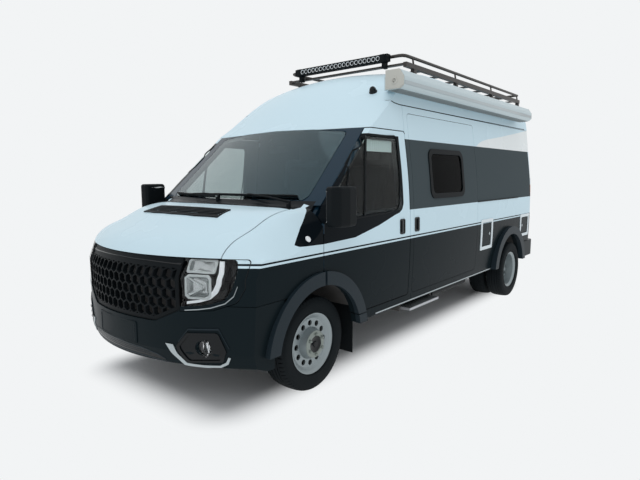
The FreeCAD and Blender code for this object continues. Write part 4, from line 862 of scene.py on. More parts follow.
# Fog lamps: a six-sided plate with a round opening, its lens, and the silver trim below it
fog = {
    "plate": [(0.603, 0.588), (0.791, 0.6), (0.838, 0.483), (0.812, 0.415), (0.587, 0.393), (0.527, 0.493)],
    "brow": [(0.545, 0.52), (0.612, 0.606), (0.796, 0.618), (0.852, 0.5)],
    "lamp": (0.7, 0.497),
    "lampRadius": 0.043,
    "trimOuter": [(0.454, 0.506), (0.5, 0.44), (0.566, 0.372), (0.69, 0.37), (0.79, 0.376), (0.836, 0.402),
                  (0.858, 0.446)],
    "trimInner": [(0.508, 0.504), (0.536, 0.446), (0.586, 0.388), (0.69, 0.384), (0.786, 0.39), (0.826, 0.414),
                  (0.846, 0.45)],
    "lens": [(1.0, 0.001), (1.0, 0.004), (0.9, 0.008), (0.6, 0.012), (0.2, 0.014)],
    "plateRim": 0.86,
}
for side, sign in bothSides:
    spot = (fog["lamp"][0] * sign, fog["lamp"][1])
    plate = raysOut(mirrorSpots(fog["plate"], sign), spot, 48)
    bore = raysOut(circleSpots(spot, fog["lampRadius"] + 0.004, 64), spot, 48)
    bm = bmesh.new()
    frameOn(bm, plate, bore, onNose, 0.002, 0.006)
    frameOn(bm, plate, scaled(plate, spot, fog["plateRim"]), onNose, 0.009, 0.004)
    addPiece(f"fogPlate_{side}", bm, "glossBlack", sharp=25)
    addPad(f"fogLens_{side}", circleSpots(spot, fog["lampRadius"] - 0.003, 32), onNose, fog["lens"], "lampGlass",
           centre=spot)
    edges = [mirrorSpots(spread(fog[key], 4), sign) for key in ("trimOuter", "trimInner")]
    addStrip(f"cornerTrim_{side}", edges, onNose, 0.007, 0.004, "satinSilver")
    brow = mirrorSpots(spread(fog["brow"], 5), sign)
    addStrip(f"fogBrow_{side}", (brow, shifted(brow, 0.009)), onNose, 0.006, 0.004, "flarePlastic")
print("fog lamps made")


# Lower front: a gloss black strip that paints the shade of the air slot, with ribs and a lip, the bare plate holder
# and the grille's top bar
lowerFront = {
    "slotTop": [(-0.9, 0.425), (-0.6, 0.446), (0.0, 0.452), (0.25, 0.44), (0.38, 0.412), (0.43, 0.386)],
    "slotFoot": [(-0.9, 0.392), (-0.6, 0.396), (0.0, 0.396), (0.25, 0.394), (0.38, 0.386), (0.43, 0.38)],
    "lipDrop": 0.01,
    "plate": (-0.275, 0.215, 0.462, 0.612),
    "barTop": [(-0.545, 1.046), (-0.3, 1.056), (0.0, 1.06), (0.3, 1.056), (0.545, 1.046)],
    "barHeight": 0.042,
    "ribs": (0.014, 0.028, 0.042),
    "ribbedSpots": 36,
}


def keepInBox(bm, margin):
    for vert in bm.verts:
        vert.co.y = max(vert.co.y, cadBox[0][1] + margin)


top = spread(lowerFront["slotTop"], 10)
foot = spread(lowerFront["slotFoot"], 10)
# The air slot is a flat gloss black strip on the bumper; its darkness is painted shade standing in for the opening
addStrip("airSlot", (top, foot), onNose, 0.0008, 0.004, "glossBlack")
bm = bmesh.new()
line = foot[:lowerFront["ribbedSpots"]]
for rise in lowerFront["ribs"]:
    stripOn(bm, (shifted(line, rise + 0.004), shifted(line, rise)), onNose, 0.002, 0.001)
stripOn(bm, (foot, shifted(foot, -lowerFront["lipDrop"])), onNose, 0.002, 0.004)
stripOn(bm, (shifted(top, 0.008), top), onNose, 0.002, 0.004)
keepInBox(bm, 0.0001)
addPiece("airSlotRibs", bm, "flarePlastic")
bm = bmesh.new()
outline = roundedOutline(lowerFront["plate"], 0.014, 4)
padOn(bm, spread(outline + outline[:1], 3)[:-1], onNose,
      [(1.0, -0.004), (1.0, 0.004), (0.985, 0.006), (0.9, 0.006), (0.88, 0.003), (0.4, 0.003)])
keepInBox(bm, 0.0002)
addPiece("plateHolder", bm, "slatePaint", sharp=25)
top = spread(lowerFront["barTop"], 8)
addStrip("grilleBar", (top, shifted(top, -lowerFront["barHeight"])), onNose, 0.004, 0.004, "glossBlack")
print("bumper and grille trims made")


# Bonnet scoop: a dark strip with slats, which opens with the bonnet
scoop = {
    "near": [(-0.455, -2.36), (-0.25, -2.4), (0.0, -2.412), (0.25, -2.4), (0.455, -2.36)],
    "far": [(-0.425, -2.215), (-0.25, -2.228), (0.0, -2.234), (0.25, -2.228), (0.425, -2.215)],
    "slats": 5,
    "slatHalf": 0.004,
    "slatWidth": 0.955,
    "rise": 0.009,
    "rim": 0.016,
    "rimWidth": 0.965,
    "middle": -2.3,
}
near, far = spread(scoop["near"], 8), spread(scoop["far"], 8)
outline = near + far[::-1]
bm = bmesh.new()
inner = [(x * scoop["rimWidth"], y + (scoop["rim"] if y < scoop["middle"] else -scoop["rim"])) for x, y in outline]
frameOn(bm, outline, inner, onTop, scoop["rise"], 0.006)
stripOn(bm, (near, far), onTop, 0.003, 0.005)
for index in range(scoop["slats"]):
    share = (index + 1) / (scoop["slats"] + 1)
    line = [(scoop["slatWidth"] * (a[0] + (b[0] - a[0]) * share), a[1] + (b[1] - a[1]) * share)
            for a, b in zip(near, far)]
    edges = (shifted(line, -scoop["slatHalf"]), shifted(line, scoop["slatHalf"]))
    stripOn(bm, edges, onTop, scoop["rise"], 0.004)
addPiece("bonnetScoop", bm, "blackPlastic", "bonnet_lid")
print("scoop made")


# Wipers: arm, blade holder and rubber along the foot of the windscreen. Each blade is its two ends and its pivot
wiper = {
    "blades": [((-0.74, 1.388), (-0.1, 1.376), (-0.05, -1.945)), ((-0.16, 1.392), (0.72, 1.392), (0.74, -1.96))],
    "bladeSteps": 16,
    "bladeLift": 0.016,
    "bladeRadii": [0.006] + [0.009] * 15 + [0.006],
    "rubberLift": 0.004,
    "rubberRadius": 0.0035,
    "pivot": [(0, 0, -0.01), (0, 0.004, 0.024)],
    "pivotRadius": 0.017,
    "armFoot": [(0, 0.004, 0.02), (0, 0.02, 0.04)],
    "armHead": [(0, -0.006, 0.01), (0, -0.006, 0.006)],
    "armRadii": [0.012, 0.01, 0.008, 0.007, 0.006],
}
for index, (start, end, pivot) in enumerate(wiper["blades"]):
    bm = bmesh.new()
    line = spread([start, end], wiper["bladeSteps"])
    blade = lifted(onScreen, line, wiper["bladeLift"])
    tubeAlong(bm, blade, wiper["bladeRadii"], 8)
    tubeAlong(bm, lifted(onScreen, line, wiper["rubberLift"]), wiper["rubberRadius"], 6)
    middle = blade[wiper["bladeSteps"] // 2]
    base, _ = onTop(pivot)
    tubeAlong(bm, [base + Vector(offset) for offset in wiper["pivot"]], wiper["pivotRadius"], 16)
    foot, knee = [base + Vector(offset) for offset in wiper["armFoot"]]
    bend, tip = [Vector(offset) for offset in wiper["armHead"]]
    tubeAlong(bm, [foot, knee, knee.lerp(middle, 0.5) + bend, middle + tip, middle], wiper["armRadii"], 8)
    addPiece(f"wiper_{index + 1}", bm, "blackPlastic", sharp=40)
print("wipers made")


# Cab doors: handle, window seal, pane divider and mirror glass, with the repeater on the wing beside them
handle = {
    "border": 0.01,
    "barWidth": 0.024,
    "barGap": 0.014,
    "recess": [(1.0, -0.003), (1.0, 0.001), (0.5, 0.001)],
    "bar": [(1.0, 0.0), (1.0, 0.01), (0.85, 0.013), (0.4, 0.014)],
}
doorTrim = {
    "handle": (-0.857, -0.773, 1.05, 1.18),
    "seal": [(-1.52, 1.64), (-1.3, 1.852), (-0.86, 1.874), (-0.828, 1.852), (-0.836, 1.5), (-0.862, 1.3),
             (-0.9, 1.262), (-1.1, 1.245), (-1.48, 1.232), (-1.705, 1.232)],
    "divider": [(-1.285, 1.846), (-1.34, 1.6), (-1.382, 1.238)],
    "mirrorGlass": (1.055, 1.172, 1.235, 1.45),
    "mirrorPad": [(1.0, -0.002), (1.0, 0.003), (0.96, 0.004), (0.3, 0.004)],
    "repeater": (-2.03, 1.128),
    "repeaterPad": [(1.0, -0.003), (1.0, 0.003), (0.86, 0.007), (0.5, 0.009)],
    "dividerHalf": 0.011,
}


def addHandle(name, box, barStart, project, body):
    bm = bmesh.new()
    inner = roundedOutline(inset(box, handle["border"]), 0.012)
    frameOn(bm, roundedOutline(box, 0.018), inner, project, 0.005, 0.004)
    padOn(bm, inner, project, handle["recess"])
    bar = (barStart, barStart + handle["barWidth"], box[2] + handle["barGap"], box[3] - handle["barGap"])
    padOn(bm, roundedOutline(bar, 0.01), project, handle["bar"])
    addPiece(name, bm, "glossBlack", body, 40)


for side, sign in bothSides:
    body = f"door_cab_{side}"
    onDoor = fromSide(sign, f"cab_door_{side}")
    addHandle(f"doorHandle_{side}", doorTrim["handle"], doorTrim["handle"][0] + 0.016, onDoor, body)
    bm = bmesh.new()
    seal = spread(doorTrim["seal"] + doorTrim["seal"][:1], 8)
    tubeAlong(bm, lifted(onDoor, seal, 0.001), 0.006, 8)
    divider = spread(doorTrim["divider"], 8)
    edges = [shifted(divider, 0.0, across) for across in (-doorTrim["dividerHalf"], doorTrim["dividerHalf"])]
    stripOn(bm, edges, onDoor, 0.004, 0.002)
    addPiece(f"windowSeal_{side}", bm, "blackPlastic", body, 40)
    onMirror = projector(1, -1.5, -1, f"mirror_{side}")
    outline = mirrorSpots(roundedOutline(doorTrim["mirrorGlass"], 0.02, 5), sign)
    addPad(f"mirrorGlass_{side}", outline, onMirror, doorTrim["mirrorPad"], "mirrorFace", body, 25)
    addPad(f"sideRepeater_{side}", circleSpots(doorTrim["repeater"], 0.019, 24), onSide[sign],
           doorTrim["repeaterPad"], "lampWhite")
print("cab doors trimmed")


# Living area: window frames, sliding door handle and rail, sill line, locks on the hatch lids
sideTrim = {
    "window": (-0.29, 0.466, 1.33, 1.79),
    "windowBorder": 0.046,
    "handle": (-0.602, -0.516, 1.05, 1.178),
    "rail": [(0.83, 1.249), (2.16, 1.249)],
    "sill": [(-1.2, 0.43), (1.36, 0.43)],
    "locks": {"hatch_front": (1.186, 0.871), "hatch_rear": (2.356, 0.872)},
    "lockPad": [(1.0, -0.003), (1.0, 0.003), (0.9, 0.005), (0.4, 0.005), (0.36, 0.002)],
}
for side, sign in bothSides:
    bm = bmesh.new()
    inner = roundedOutline(inset(sideTrim["window"], sideTrim["windowBorder"]), 0.055, 8)
    frameOn(bm, roundedOutline(sideTrim["window"], 0.085, 8), inner,
            fromSide(sign, "bodyside", "sliding_door", "side_windows"), 0.011, 0.003)
    addPiece(f"windowFrame_{side}", bm, "blackPlastic", sharp=50)
addHandle("slidingDoorHandle", sideTrim["handle"], sideTrim["handle"][1] - 0.04, onSide[1], "van")
line = spread(sideTrim["rail"], 30)
addStrip("slideRail", (shifted(line, 0.012), line), onSide[1], 0.006, 0.003, "blackPlastic")
line = spread(sideTrim["sill"], 40)
bm = bmesh.new()
for sign in (1, -1):
    stripOn(bm, (shifted(line, 0.01), line), onSide[sign], 0.003, 0.003)
addPiece("sillLine", bm, "satinSilver")
onLid = fromSide(1, "hatch_lid")
for body, spot in sideTrim["locks"].items():
    addPad(f"lidLock_{body}", circleSpots(spot, 0.017, 28), onLid, sideTrim["lockPad"], "satinSilver",
           body, 30)
print("side trims made")


# Brake discs seen through the holes of the wheels
brake = {
    "front": [(-0.018, 0.052), (-0.018, 0.168), (0.01, 0.168), (0.01, 0.052)],
    "rear": [(-0.085, 0.099), (-0.085, 0.165), (-0.05, 0.165), (-0.05, 0.099)],
}
for side, sign in bothSides:
    for name, x, y, body in (("front", frontX, frontAxle, f"wheel_front_{side}"),
                             ("rear", rearX[0], rearAxle, f"wheels_rear_{side}")):
        disc = turned(brake[name], 0.0, (sign * x, y, axleHeight), sign, 48)
        addPiece(f"brakeDisc_{name}_{side}", disc, "brakeIron", body)
print("brake discs made")


# Roof: the awning's caps, its underside in a grey that paints the shade under the awning, and its lead rail
awning = {
    "section": [(0.903, 2.237), (1.04, 2.237), (1.071, 2.263), (1.071, 2.33), (1.03, 2.391), (0.903, 2.391)],
    "front": -0.95,
    "rear": 2.3,
    "capDepth": 0.022,
    "underside": (0.915, 1.03, 2.2355),
    "ribs": 3,
    "lead": (1.0735, 2.268, 2.3),
    "middle": (0.985, 2.314),
    "capSteps": [(0.0, 0.985), (0.7, 0.985), (0.92, 0.96), (1.0, 0.9)],
    "boss": (0.99, 2.3),
    "bossSteps": [(0.9, 0.03), (1.2, 0.03), (1.3, 0.026), (1.3, 0.017), (1.0, 0.015)],
    "ribHalf": 0.006,
}
for name, way in (("front", -1), ("rear", 1)):
    depth = way * awning["capDepth"]
    steps = [(along, scaled(awning["section"], awning["middle"], scale)) for along, scale in awning["capSteps"]]
    bossSteps = [(along, circleSpots(awning["boss"], radius, 24)) for along, radius in awning["bossSteps"]]
    bm = bmesh.new()
    for run in (steps, bossSteps):
        skinRings(bm, [[Vector((x, awning[name] + depth * along, z)) for x, z in ring] for along, ring in run])
    addPiece(f"awningCap_{name}", bm, "beige", sharp=40)
# Underside plate and ribs in the grey that paints the awning's shade
lowX, highX, height = awning["underside"]
startY, endY, half = awning["front"], awning["rear"], awning["ribHalf"]
bm = bmesh.new()
roundedBlock(bm, (lowX, startY + 0.01, height - 0.004), (highX, endY - 0.01, height + 0.002), 0.0015, 1)
under = bareMesh("underPlate", cleaned(bm))
bm = bmesh.new()
reach = (endY - startY) / 2 - 0.02
roundedBlock(bm, (-half, -reach, -half), (half, reach, 0.0), 0.002)
gap = (highX - lowX) / (awning["ribs"] + 1)
addRow("awningUnderside", bm, "awningPaintedShadeGrey", awning["ribs"], gap,
       (lowX + gap, (startY + endY) / 2, height - 0.003), extra=[under])
x, lowZ, highZ = awning["lead"]
bm = bmesh.new()
roundedBlock(bm, (x - 0.004, startY + 0.004, lowZ), (x + 0.003, endY - 0.004, highZ), 0.003)
addPiece("awningLeadRail", bm, "satinSilver")

# Light bar: frame, feet and a row of lamp cups
lightBar = {
    "box": (-0.556, 0.556, 2.611, 2.665),
    "face": -0.4175,
    "frameOut": 0.0035,
    "frameRise": 0.004,
    "lamps": 22,
    "lampInset": 0.034,
    "cup": [(0.0015, 0.021), (-0.003, 0.021), (-0.0005, 0.0168), (0.0012, 0.00735)],
    "cupStretch": 1.05,
    "feet": (-0.52, 0.52),
    "foot": ((-0.026, -0.424, 2.6), (0.026, -0.346, 2.6715)),
}
lowX, highX, lowZ, highZ = lightBar["box"]
outer = roundedOutline(inset(lightBar["box"], 0.0, -lightBar["frameRise"]), 0.006, 3)
inner = roundedOutline(inset(lightBar["box"], 0.008, 0.003), 0.004, 3)
rings = ((outer, 0.002), (outer, -lightBar["frameOut"]), (inner, -lightBar["frameOut"]), (inner, 0.002))
bm = bmesh.new()
skinRings(bm, [[Vector((x, lightBar["face"] + depth, z)) for x, z in ring] for ring, depth in rings], closedRun=True)
low, high = lightBar["foot"]
for x in lightBar["feet"]:
    roundedBlock(bm, (x + low[0], *low[1:]), (x + high[0], *high[1:]), 0.004)
addPiece("lightBarFrame", bm, "blackPlastic", sharp=30)
bm = bmesh.new()
skinRings(bm, [[Vector((x, depth, z * lightBar["cupStretch"])) for x, z in circleSpots((0, 0), radius, 12)]
               for depth, radius in lightBar["cup"]])
startX = lowX + lightBar["lampInset"]
addRow("barLamps", bm, "lampWhite", lightBar["lamps"], -2 * startX / (lightBar["lamps"] - 1),
       (startX, lightBar["face"], (lowZ + highZ) / 2))

# Dome camera on the side of the roof
dome = {
    "spot": (-0.785, 2.266),
    "profile": [(-0.014, 0.036), (0.008, 0.036), (0.011, 0.031), (0.024, 0.03), (0.036, 0.026), (0.046, 0.018),
                (0.051, 0.009), (0.052, 0.002)],
}
onRoof = {sign: fromSide(sign, "high_roof") for sign in (1, -1)}
foot, way = onRoof[1](dome["spot"])
turnTo = way.to_track_quat("Z", "Y")
bm = bmesh.new()
skinRings(bm, [[foot + turnTo @ Vector((*spot, height)) for spot in circleSpots((0, 0), radius, 28)]
               for height, radius in dome["profile"]])
addPiece("domeCamera", bm, "glossBlack", sharp=40)

# Dark strip along each side of the roof's seam: partly the seam's own joint, partly painted shade of the seam's
# groove
seam = {
    "line": [(-0.868, 2.168), (-0.8, 2.152), (-0.712, 2.146), (0.05, 2.147), (1.05, 2.15), (2.23, 2.155),
             (2.6, 2.157)],
    "half": 0.004,
}
line = spread(seam["line"], 6)
edges = (shifted(line, seam["half"]), shifted(line, -seam["half"]))
for side, sign in bothSides:
    # The strip's dark colour partly paints the shade in the seam's groove
    addStrip(f"roofSeamShade_{side}", edges, onRoof[sign], 0.0012, 0.002, "rubber")

# The tube that closes the front of the rack
rackNose = {
    "path": [(0.7, 0.2), (0.7, 0.1), (0.697, 0.055), (0.68, 0.022), (0.65, 0.012), (0.6, 0.01)],
    "height": 2.654,
    "radius": 0.0155,
}
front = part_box("roof_rack")[0][1]
half = [(x, front + y, rackNose["height"]) for x, y in rackNose["path"]]
bm = bmesh.new()
tubeAlong(bm, half + [(-x, y, z) for x, y, z in reversed(half)], rackNose["radius"], 14)
addPiece("rackNose", bm, "rackPaint")
print("roof trims made")


# Rear: header over the doors, upright tail lamps round the corners, reflectors, handle, brake light and bumper
# tread. Spots on a corner are turns in degrees and heights
rearTrim = {
    "lampCentre": (0.9, 2.66),
    "lampTurns": (14, 66),
    "lampBands": [("tailRed", 1.03, 1.3), ("tailAmber", 1.304, 1.41), ("lampWhite", 1.414, 1.5)],
    "handle": (-0.135, -0.045, 1.06, 1.12),
    "handleBorder": (-0.014, -0.016),
    "handleBar": [(1.0, 0.0), (1.0, 0.01), (0.85, 0.014), (0.4, 0.015)],
    "barMargin": 0.008,
    "barDepth": 0.03,
    "brakeLight": (-0.15, 0.15, 2.165, 2.195),
    "brakePad": [(1.0, -0.004), (1.0, 0.006), (0.97, 0.01), (0.4, 0.011)],
    "reflectors": (0.76, 0.88, 0.52, 0.56),
    "reflectorPad": [(1.0, -0.004), (0.98, -0.0005), (0.5, -0.0002)],
    "treadRibs": 15,
    "tread": (-0.8, 0.8, 2.83, 0.64),
}


def onCorner(sign):
    centreX, centreY = rearTrim["lampCentre"]
    tree = surfaceOf("bodyside")

    def project(spot):
        turn = math.radians(spot[0])
        way = Vector((sign * math.cos(turn), math.sin(turn), 0))
        start = Vector((sign * centreX, centreY, spot[1])) + way * 0.4
        hit, normal, _, _ = tree.ray_cast(start, -way)
        if normal.dot(way) < 0:
            normal = -normal
        return hit, normal
    return project


header = {
    "line": [(-0.8, 2.7493), (-0.7, 2.7625), (-0.5, 2.776), (-0.1, 2.7905), (0.1, 2.7905), (0.5, 2.776),
             (0.7, 2.7625), (0.8, 2.7493)],
    "recess": (0.004, 0.03),
    "heights": (2.0945, 2.15),
}
bm = bmesh.new()
near, deep = header["recess"]
lowZ, highZ = header["heights"]
skinRings(bm, [[Vector((x, y - near, lowZ)), Vector((x, y - near, highZ)), Vector((x, y - deep, highZ)),
                Vector((x, y - deep, lowZ))] for x, y in spread(header["line"], 4)])
addPiece("doorHeader", bm, "bodyPaint")
lowTurn, highTurn = rearTrim["lampTurns"]
onBumper = fromRear("rear_bumper")
for side, sign in bothSides:
    project = onCorner(sign)
    for look, lowZ, highZ in rearTrim["lampBands"]:
        edges = [spread([(lowTurn, z), (highTurn, z)], 12) for z in (lowZ, highZ)]
        addStrip(f"tailLamp_{look}_{side}", edges, project, 0.008, 0.003, look)
    addPad(f"reflector_{side}", mirrorSpots(roundedOutline(rearTrim["reflectors"], 0.008, 4), sign), onBumper,
           rearTrim["reflectorPad"], "tailRed", sharp=30)
onLeaf = fromRear("rear_door_right")
box = rearTrim["handle"]
inner = roundedOutline(box, 0.012, 5)
bm = bmesh.new()
frameOn(bm, roundedOutline(inset(box, *rearTrim["handleBorder"]), 0.018, 5), inner, onLeaf, 0.006, 0.004)
padOn(bm, inner, onLeaf, handle["recess"])
margin = rearTrim["barMargin"]
bar = (box[0] + margin, box[1] - margin, box[3] - rearTrim["barDepth"], box[3] - margin)
padOn(bm, roundedOutline(bar, 0.008, 5), onLeaf, rearTrim["handleBar"])
addPiece("rearHandle", bm, "glossBlack", "door_rear_right", 40)
addPad("brakeLight", spread(roundedOutline(rearTrim["brakeLight"], 0.012, 5), 2), fromRear("high_roof"),
       rearTrim["brakePad"], "tailRed", sharp=40)
lowX, highX, y, height = rearTrim["tread"]
bm = bmesh.new()
roundedBlock(bm, (-0.02, -0.026, -0.002), (0.02, 0.026, 0.003), 0.0015, 1)
addRow("bumperTread", bm, "rubber", rearTrim["treadRibs"],
       (highX - lowX) / (rearTrim["treadRibs"] - 1), (lowX, y, height))

# Baffles beside the radiator, which close the view past it through the grille
baffle = {"low": (0.492, -2.662, 0.69), "high": (0.598, -2.654, 1.06)}
for side, sign in bothSides:
    ends = sorted((sign * baffle["low"][0], sign * baffle["high"][0]))
    bm = bmesh.new()
    roundedBlock(bm, (ends[0], *baffle["low"][1:]), (ends[1], *baffle["high"][1:]), 0.003)
    addPiece(f"grilleBaffle_{side}", bm, "blackPlastic")
print("rear trims made")


# Entry step: ribbed tread and its folding links
stepTrim = {
    "span": (0.82, 1.012, -0.69, -0.15),
    "top": 0.376,
    "ribs": 9,
    "ribHalf": 0.003,
    "links": (-0.56, -0.28),
    "link": ((0.815, -0.016, 0.338), (0.985, 0.016, 0.3545)),
    "rod": [(0.842, 0.0, 0.345), (0.842, 0.02, 0.33), (0.842, 0.11, 0.326)],
    "rodRadius": 0.008,
}
lowX, highX, lowY, highY = stepTrim["span"]
half, reach = stepTrim["ribHalf"], (highY - lowY) / 2
bm = bmesh.new()
roundedBlock(bm, (-half, -reach, -0.001), (half, reach, 0.003), 0.0012, 1)
addRow("stepTread", bm, "rubber", stepTrim["ribs"], (highX - lowX - 0.02) / (stepTrim["ribs"] - 1),
       (lowX + 0.01, (lowY + highY) / 2, stepTrim["top"]), body="step")
bm = bmesh.new()
for y in stepTrim["links"]:
    low, high = [(x, y + along, z) for x, along, z in stepTrim["link"]]
    roundedBlock(bm, low, high, 0.004)
    tubeAlong(bm, [(x, y + along, z) for x, along, z in stepTrim["rod"]], stepTrim["rodRadius"])
addPiece("stepLinks", bm, "alloy", "step", 30)
print("step made")


# Cab: interior mirror, and the short white blind on the left cab window
cab = {
    "mirror": (-0.11, 0.11, 1.742, 1.806, -1.29),
    "mirrorHalf": 0.012,
    "mirrorFoot": (0.0, 1.862),
    "footPad": [(1.0, -0.016), (1.0, -0.0085), (0.5, -0.008)],
    "blind": (-1.262, -0.864, 1.738, 1.84, 0.905),
    "folds": 14,
    "stepsPerFold": 8,
    "foldDepth": 0.004,
    "rows": 6,
    "rodReach": 0.012,
    "rodRise": 0.003,
    "rodRadius": 0.004,
    "bracketInset": 0.006,
    "bracket": [(0.0, 0.003), (0.01, 0.006), (0.02, 0.006)],
    "bracketRadius": 0.003,
}
lowX, highX, lowZ, highZ, y = cab["mirror"]
bm = bmesh.new()
half = cab["mirrorHalf"]
roundedBlock(bm, (lowX, y - half, lowZ), (highX, y + half, highZ), 0.01, 3)
inside = onScreen(cab["mirrorFoot"])[0] + Vector((0, 0.01, -0.004))
tubeAlong(bm, [inside, inside + Vector((0, 0.02, -0.02)), Vector((0, y - 0.004, (lowZ + highZ) / 2))], 0.008)
padOn(bm, circleSpots(cab["mirrorFoot"], 0.02, 20), onScreen, cab["footPad"])
addPiece("interiorMirror", bm, "blackPlastic", sharp=40)
startY, endY, lowZ, highZ, x = cab["blind"]
steps = cab["folds"] * cab["stepsPerFold"]
length = 0.0
columns = []
before = None
bm = bmesh.new()
for index in range(steps + 1):
    share = index / steps
    wave = cab["foldDepth"] * math.sin(share * cab["folds"] * 2 * math.pi)
    point = Vector((x + wave, startY + (endY - startY) * share, 0))
    length += (point - before).length if before else 0.0
    before = point
    columns.append([bm.verts.new(point + Vector((0, 0, highZ + (lowZ - highZ) * row / cab["rows"])))
                    for row in range(cab["rows"] + 1)])
for first, second in zip(columns, columns[1:]):
    for row in range(cab["rows"]):
        bm.faces.new((first[row], second[row], second[row + 1], first[row + 1]))
blind = addPiece("sideBlind", bm, "blindCloth", "door_cab_left", 80)
bm = bmesh.new()
ends = (startY - cab["rodReach"], endY + cab["rodReach"])
tubeAlong(bm, [(x, y, highZ + cab["rodRise"]) for y in ends], cab["rodRadius"])
for y in (startY - cab["bracketInset"], endY + cab["bracketInset"]):
    tubeAlong(bm, [(x + away, y, highZ + rise) for away, rise in cab["bracket"]], cab["bracketRadius"], 8)
addPiece("blindRod", bm, "satinSilver", "door_cab_left")
print("cab fittings made")


# Seats: cushion, backrest and headrest of each, swelled from a slimmer block and held inside the solid's space
seat = {
    "across": 0.41,
    "cushion": {"half": 0.236, "y": (-1.064, -0.536), "z": (0.956, 1.046), "voxel": 0.013, "seams": (-0.15, 0.15)},
    "back": {"half": 0.23, "y": (-0.62, -0.526), "z": (1.09, 1.662), "voxel": 0.013, "seams": (-0.14, 0.14),
             "lean": 0.245},
    "head": {"half": 0.116, "y": (-0.448, -0.376), "z": (1.694, 1.868), "voxel": 0.01, "seams": ()},
    "bevel": 0.034,
    "swell": 0.018,
    "swellFrames": 20,
    "seamDepth": 0.007,
    "seamWidth": 0.009,
    "crossSeam": -0.93,
}


def swelled(holder, limit):
    start = [vert.co.copy() for vert in holder.data.vertices]
    cloth = holder.modifiers.new("cloth", "CLOTH")
    cloth.settings.use_pressure = True
    cloth.settings.uniform_pressure_force = 4
    cloth.settings.effector_weights.gravity = 0
    cloth.settings.quality = 4
    cloth.point_cache.frame_start = 1
    cloth.point_cache.frame_end = seat["swellFrames"]
    for frameNumber in range(1, seat["swellFrames"] + 1):
        scene.frame_set(frameNumber)
    result = evaluatedMesh(holder)
    holder.modifiers.remove(cloth)
    scene.frame_set(1)
    for vert, place in zip(result.vertices, start):
        move = vert.co - place
        if move.length > limit:
            vert.co = place + move.normalized() * limit
    return result


def seamShape(gap):
    return math.exp(-(gap / seat["seamWidth"]) ** 2)


for side, sign in (("right", 1), ("left", -1)):
    for part in ("cushion", "back", "head"):
        values = seat[part]
        middle = sign * seat["across"]
        bm = bmesh.new()
        low = (middle - values["half"], values["y"][0], values["z"][0])
        high = (middle + values["half"], values["y"][1], values["z"][1])
        roundedBlock(bm, low, high, min(seat["bevel"], 0.45 * min(high[1] - low[1], high[2] - low[2])), 3)
        for vert in bm.verts:
            vert.co.y += values.get("lean", 0.0) * (vert.co.z - low[2])
        holder = bpy.data.objects.new("seatForm", bareMesh("seatForm", cleaned(bm)))
        scene.collection.objects.link(holder)
        remesh = holder.modifiers.new("grid", "REMESH")
        remesh.mode = "VOXEL"
        remesh.voxel_size = values["voxel"]
        bpy.context.view_layer.update()
        grid = evaluatedMesh(holder)
        holder.modifiers.remove(remesh)
        holder.data = grid
        holder.data = swelled(holder, seat["swell"])
        mesh = holder.data
        bpy.data.objects.remove(holder)
        normals = [vert.normal.copy() for vert in mesh.vertices]
        for vert, normal in zip(mesh.vertices, normals):
            across = vert.co.x - middle
            dent = sum(seamShape(across - line) for line in values["seams"])
            if part == "cushion" and abs(across) < values["seams"][1]:
                dent += seamShape(vert.co.y - seat["crossSeam"])
            vert.co -= normal * seat["seamDepth"] * dent
        piece = addPiece(f"seat_{part}_{side}", mesh, "seatCloth", sharp=180)
        smooth = piece.modifiers.new("smooth", "SUBSURF")
        smooth.levels = 1
        smooth.render_levels = 1
        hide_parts("cab_seats")
print("seats made")


# Camera, floor and light
camera = {
    "place": Vector((3.133, -4.517, 1.549)),
    "azimuth": math.radians(39.46),
    "pitch": math.radians(7.4),
    "roll": math.radians(-0.26),
    "lens": 27.93,
}
a, p, r = camera["azimuth"], camera["pitch"], camera["roll"]
ahead = Vector((-math.sin(a) * math.cos(p), math.cos(a) * math.cos(p), -math.sin(p)))
right = Vector((math.cos(a), math.sin(a), 0))
up = right.cross(ahead)
rightTurned = right * math.cos(r) + up * math.sin(r)
upTurned = up * math.cos(r) - right * math.sin(r)
view = bpy.data.cameras.new("view")
view.lens = camera["lens"]
view.sensor_width = 36
viewer = bpy.data.objects.new("view", view)
scene.collection.objects.link(viewer)
turn = Matrix((rightTurned, upTurned, -ahead)).transposed().to_4x4()
viewer.matrix_world = Matrix.Translation(camera["place"]) @ turn
scene.camera = viewer

studio = {
    "backdrop": (0.888, 0.904, 0.913, 1),
    "ambient": 0.58,
    "ambientColour": (0.97, 1.0, 1.03, 1),
    "floorColour": (0.84, 0.85, 0.86, 1),
    "floorRough": 0.9,
    "floorShine": 0.1,
    "floorDrop": -0.001,
    "floorReach": 60,
    "footprint": (0.58, 2.45),
    "shadeStart": 0.0,
    "shadeReach": 0.4,
    "lamps": [
        ("keyLamp", (3.5, -7.5, 7.5), 6.0, 190),
        ("topLamp", (-1.0, 1.5, 8.5), 7.0, 150),
        ("rearLamp", (4.5, 7.5, 5.0), 5.0, 60),
    ],
}
world = bpy.data.worlds.new("studio")
scene.world = world
world.use_nodes = True
tree = world.node_tree
tree.nodes.clear()
ambient = addNode(tree, "ShaderNodeBackground", Color=studio["ambientColour"], Strength=studio["ambient"])
seen = addNode(tree, "ShaderNodeBackground", Color=studio["backdrop"], Strength=1.0)
path = tree.nodes.new("ShaderNodeLightPath").outputs
rays = calc(tree, "MAXIMUM", path["Is Camera Ray"], path["Is Glossy Ray"])
rays = calc(tree, "MAXIMUM", rays, path["Is Transmission Ray"])


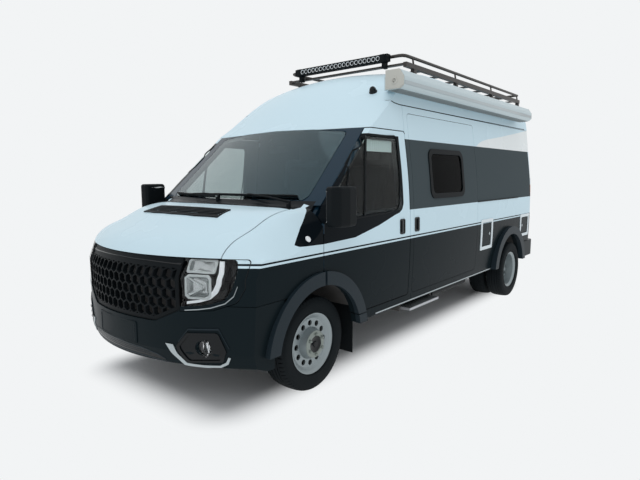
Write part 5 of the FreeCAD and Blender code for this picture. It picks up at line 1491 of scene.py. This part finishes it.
def mixShaders(tree, share, first, second, target):
    mix = tree.nodes.new("ShaderNodeMixShader")
    for socket, value in zip(mix.inputs, (share, first.outputs[0], second.outputs[0])):
        plug(tree, socket, value)
    plug(tree, target.inputs["Surface"], mix.outputs[0])


mixShaders(tree, rays, ambient, seen, tree.nodes.new("ShaderNodeOutputWorld"))

floorMesh = bpy.data.meshes.new("floor")
corners = [(-1, -1), (1, -1), (1, 1), (-1, 1)]
floorMesh.from_pydata([(x * studio["floorReach"], y * studio["floorReach"], studio["floorDrop"]) for x, y in corners],
                      [], [(0, 1, 2, 3)])
floor = bpy.data.objects.new("floor", floorMesh)
scene.collection.objects.link(floor)
floorLook = bpy.data.materials.new("studioFloor")
floorLook.use_nodes = True
tree = floorLook.node_tree
shader = tree.nodes["Principled BSDF"]
shader.inputs["Base Color"].default_value = studio["floorColour"]
shader.inputs["Roughness"].default_value = studio["floorRough"]
shader.inputs["Specular IOR Level"].default_value = studio["floorShine"]
glow = addNode(tree, "ShaderNodeEmission", Color=studio["backdrop"])
spot = addNode(tree, "ShaderNodeTexCoord").outputs["Object"]
axes = addNode(tree, "ShaderNodeSeparateXYZ", Vector=spot).outputs
beyond = [calc(tree, "MAXIMUM", calc(tree, "SUBTRACT", calc(tree, "ABSOLUTE", axes[index]), half), 0.0)
          for index, half in enumerate(studio["footprint"])]
squares = [calc(tree, "MULTIPLY", value, value) for value in beyond]
away = calc(tree, "SQRT", calc(tree, "ADD", *squares))
fade = addNode(tree, "ShaderNodeMapRange", Value=away, From_Min=studio["shadeStart"], From_Max=studio["shadeReach"])
fade.interpolation_type = "SMOOTHSTEP"
mixShaders(tree, fade.outputs[0], shader, glow, tree.nodes["Material Output"])
floorMesh.materials.append(floorLook)
for name, spot, size, power in studio["lamps"]:
    light = bpy.data.lights.new(name, "AREA")
    light.shape = "DISK"
    light.size = size
    light.energy = power
    holder = bpy.data.objects.new(name, light)
    scene.collection.objects.link(holder)
    holder.visible_glossy = False
    facing = (Vector(spot) - Vector((0, 0, 1))).to_track_quat("Z", "Y")
    holder.matrix_world = Matrix.Translation(spot) @ facing.to_matrix().to_4x4()
print("studio made")
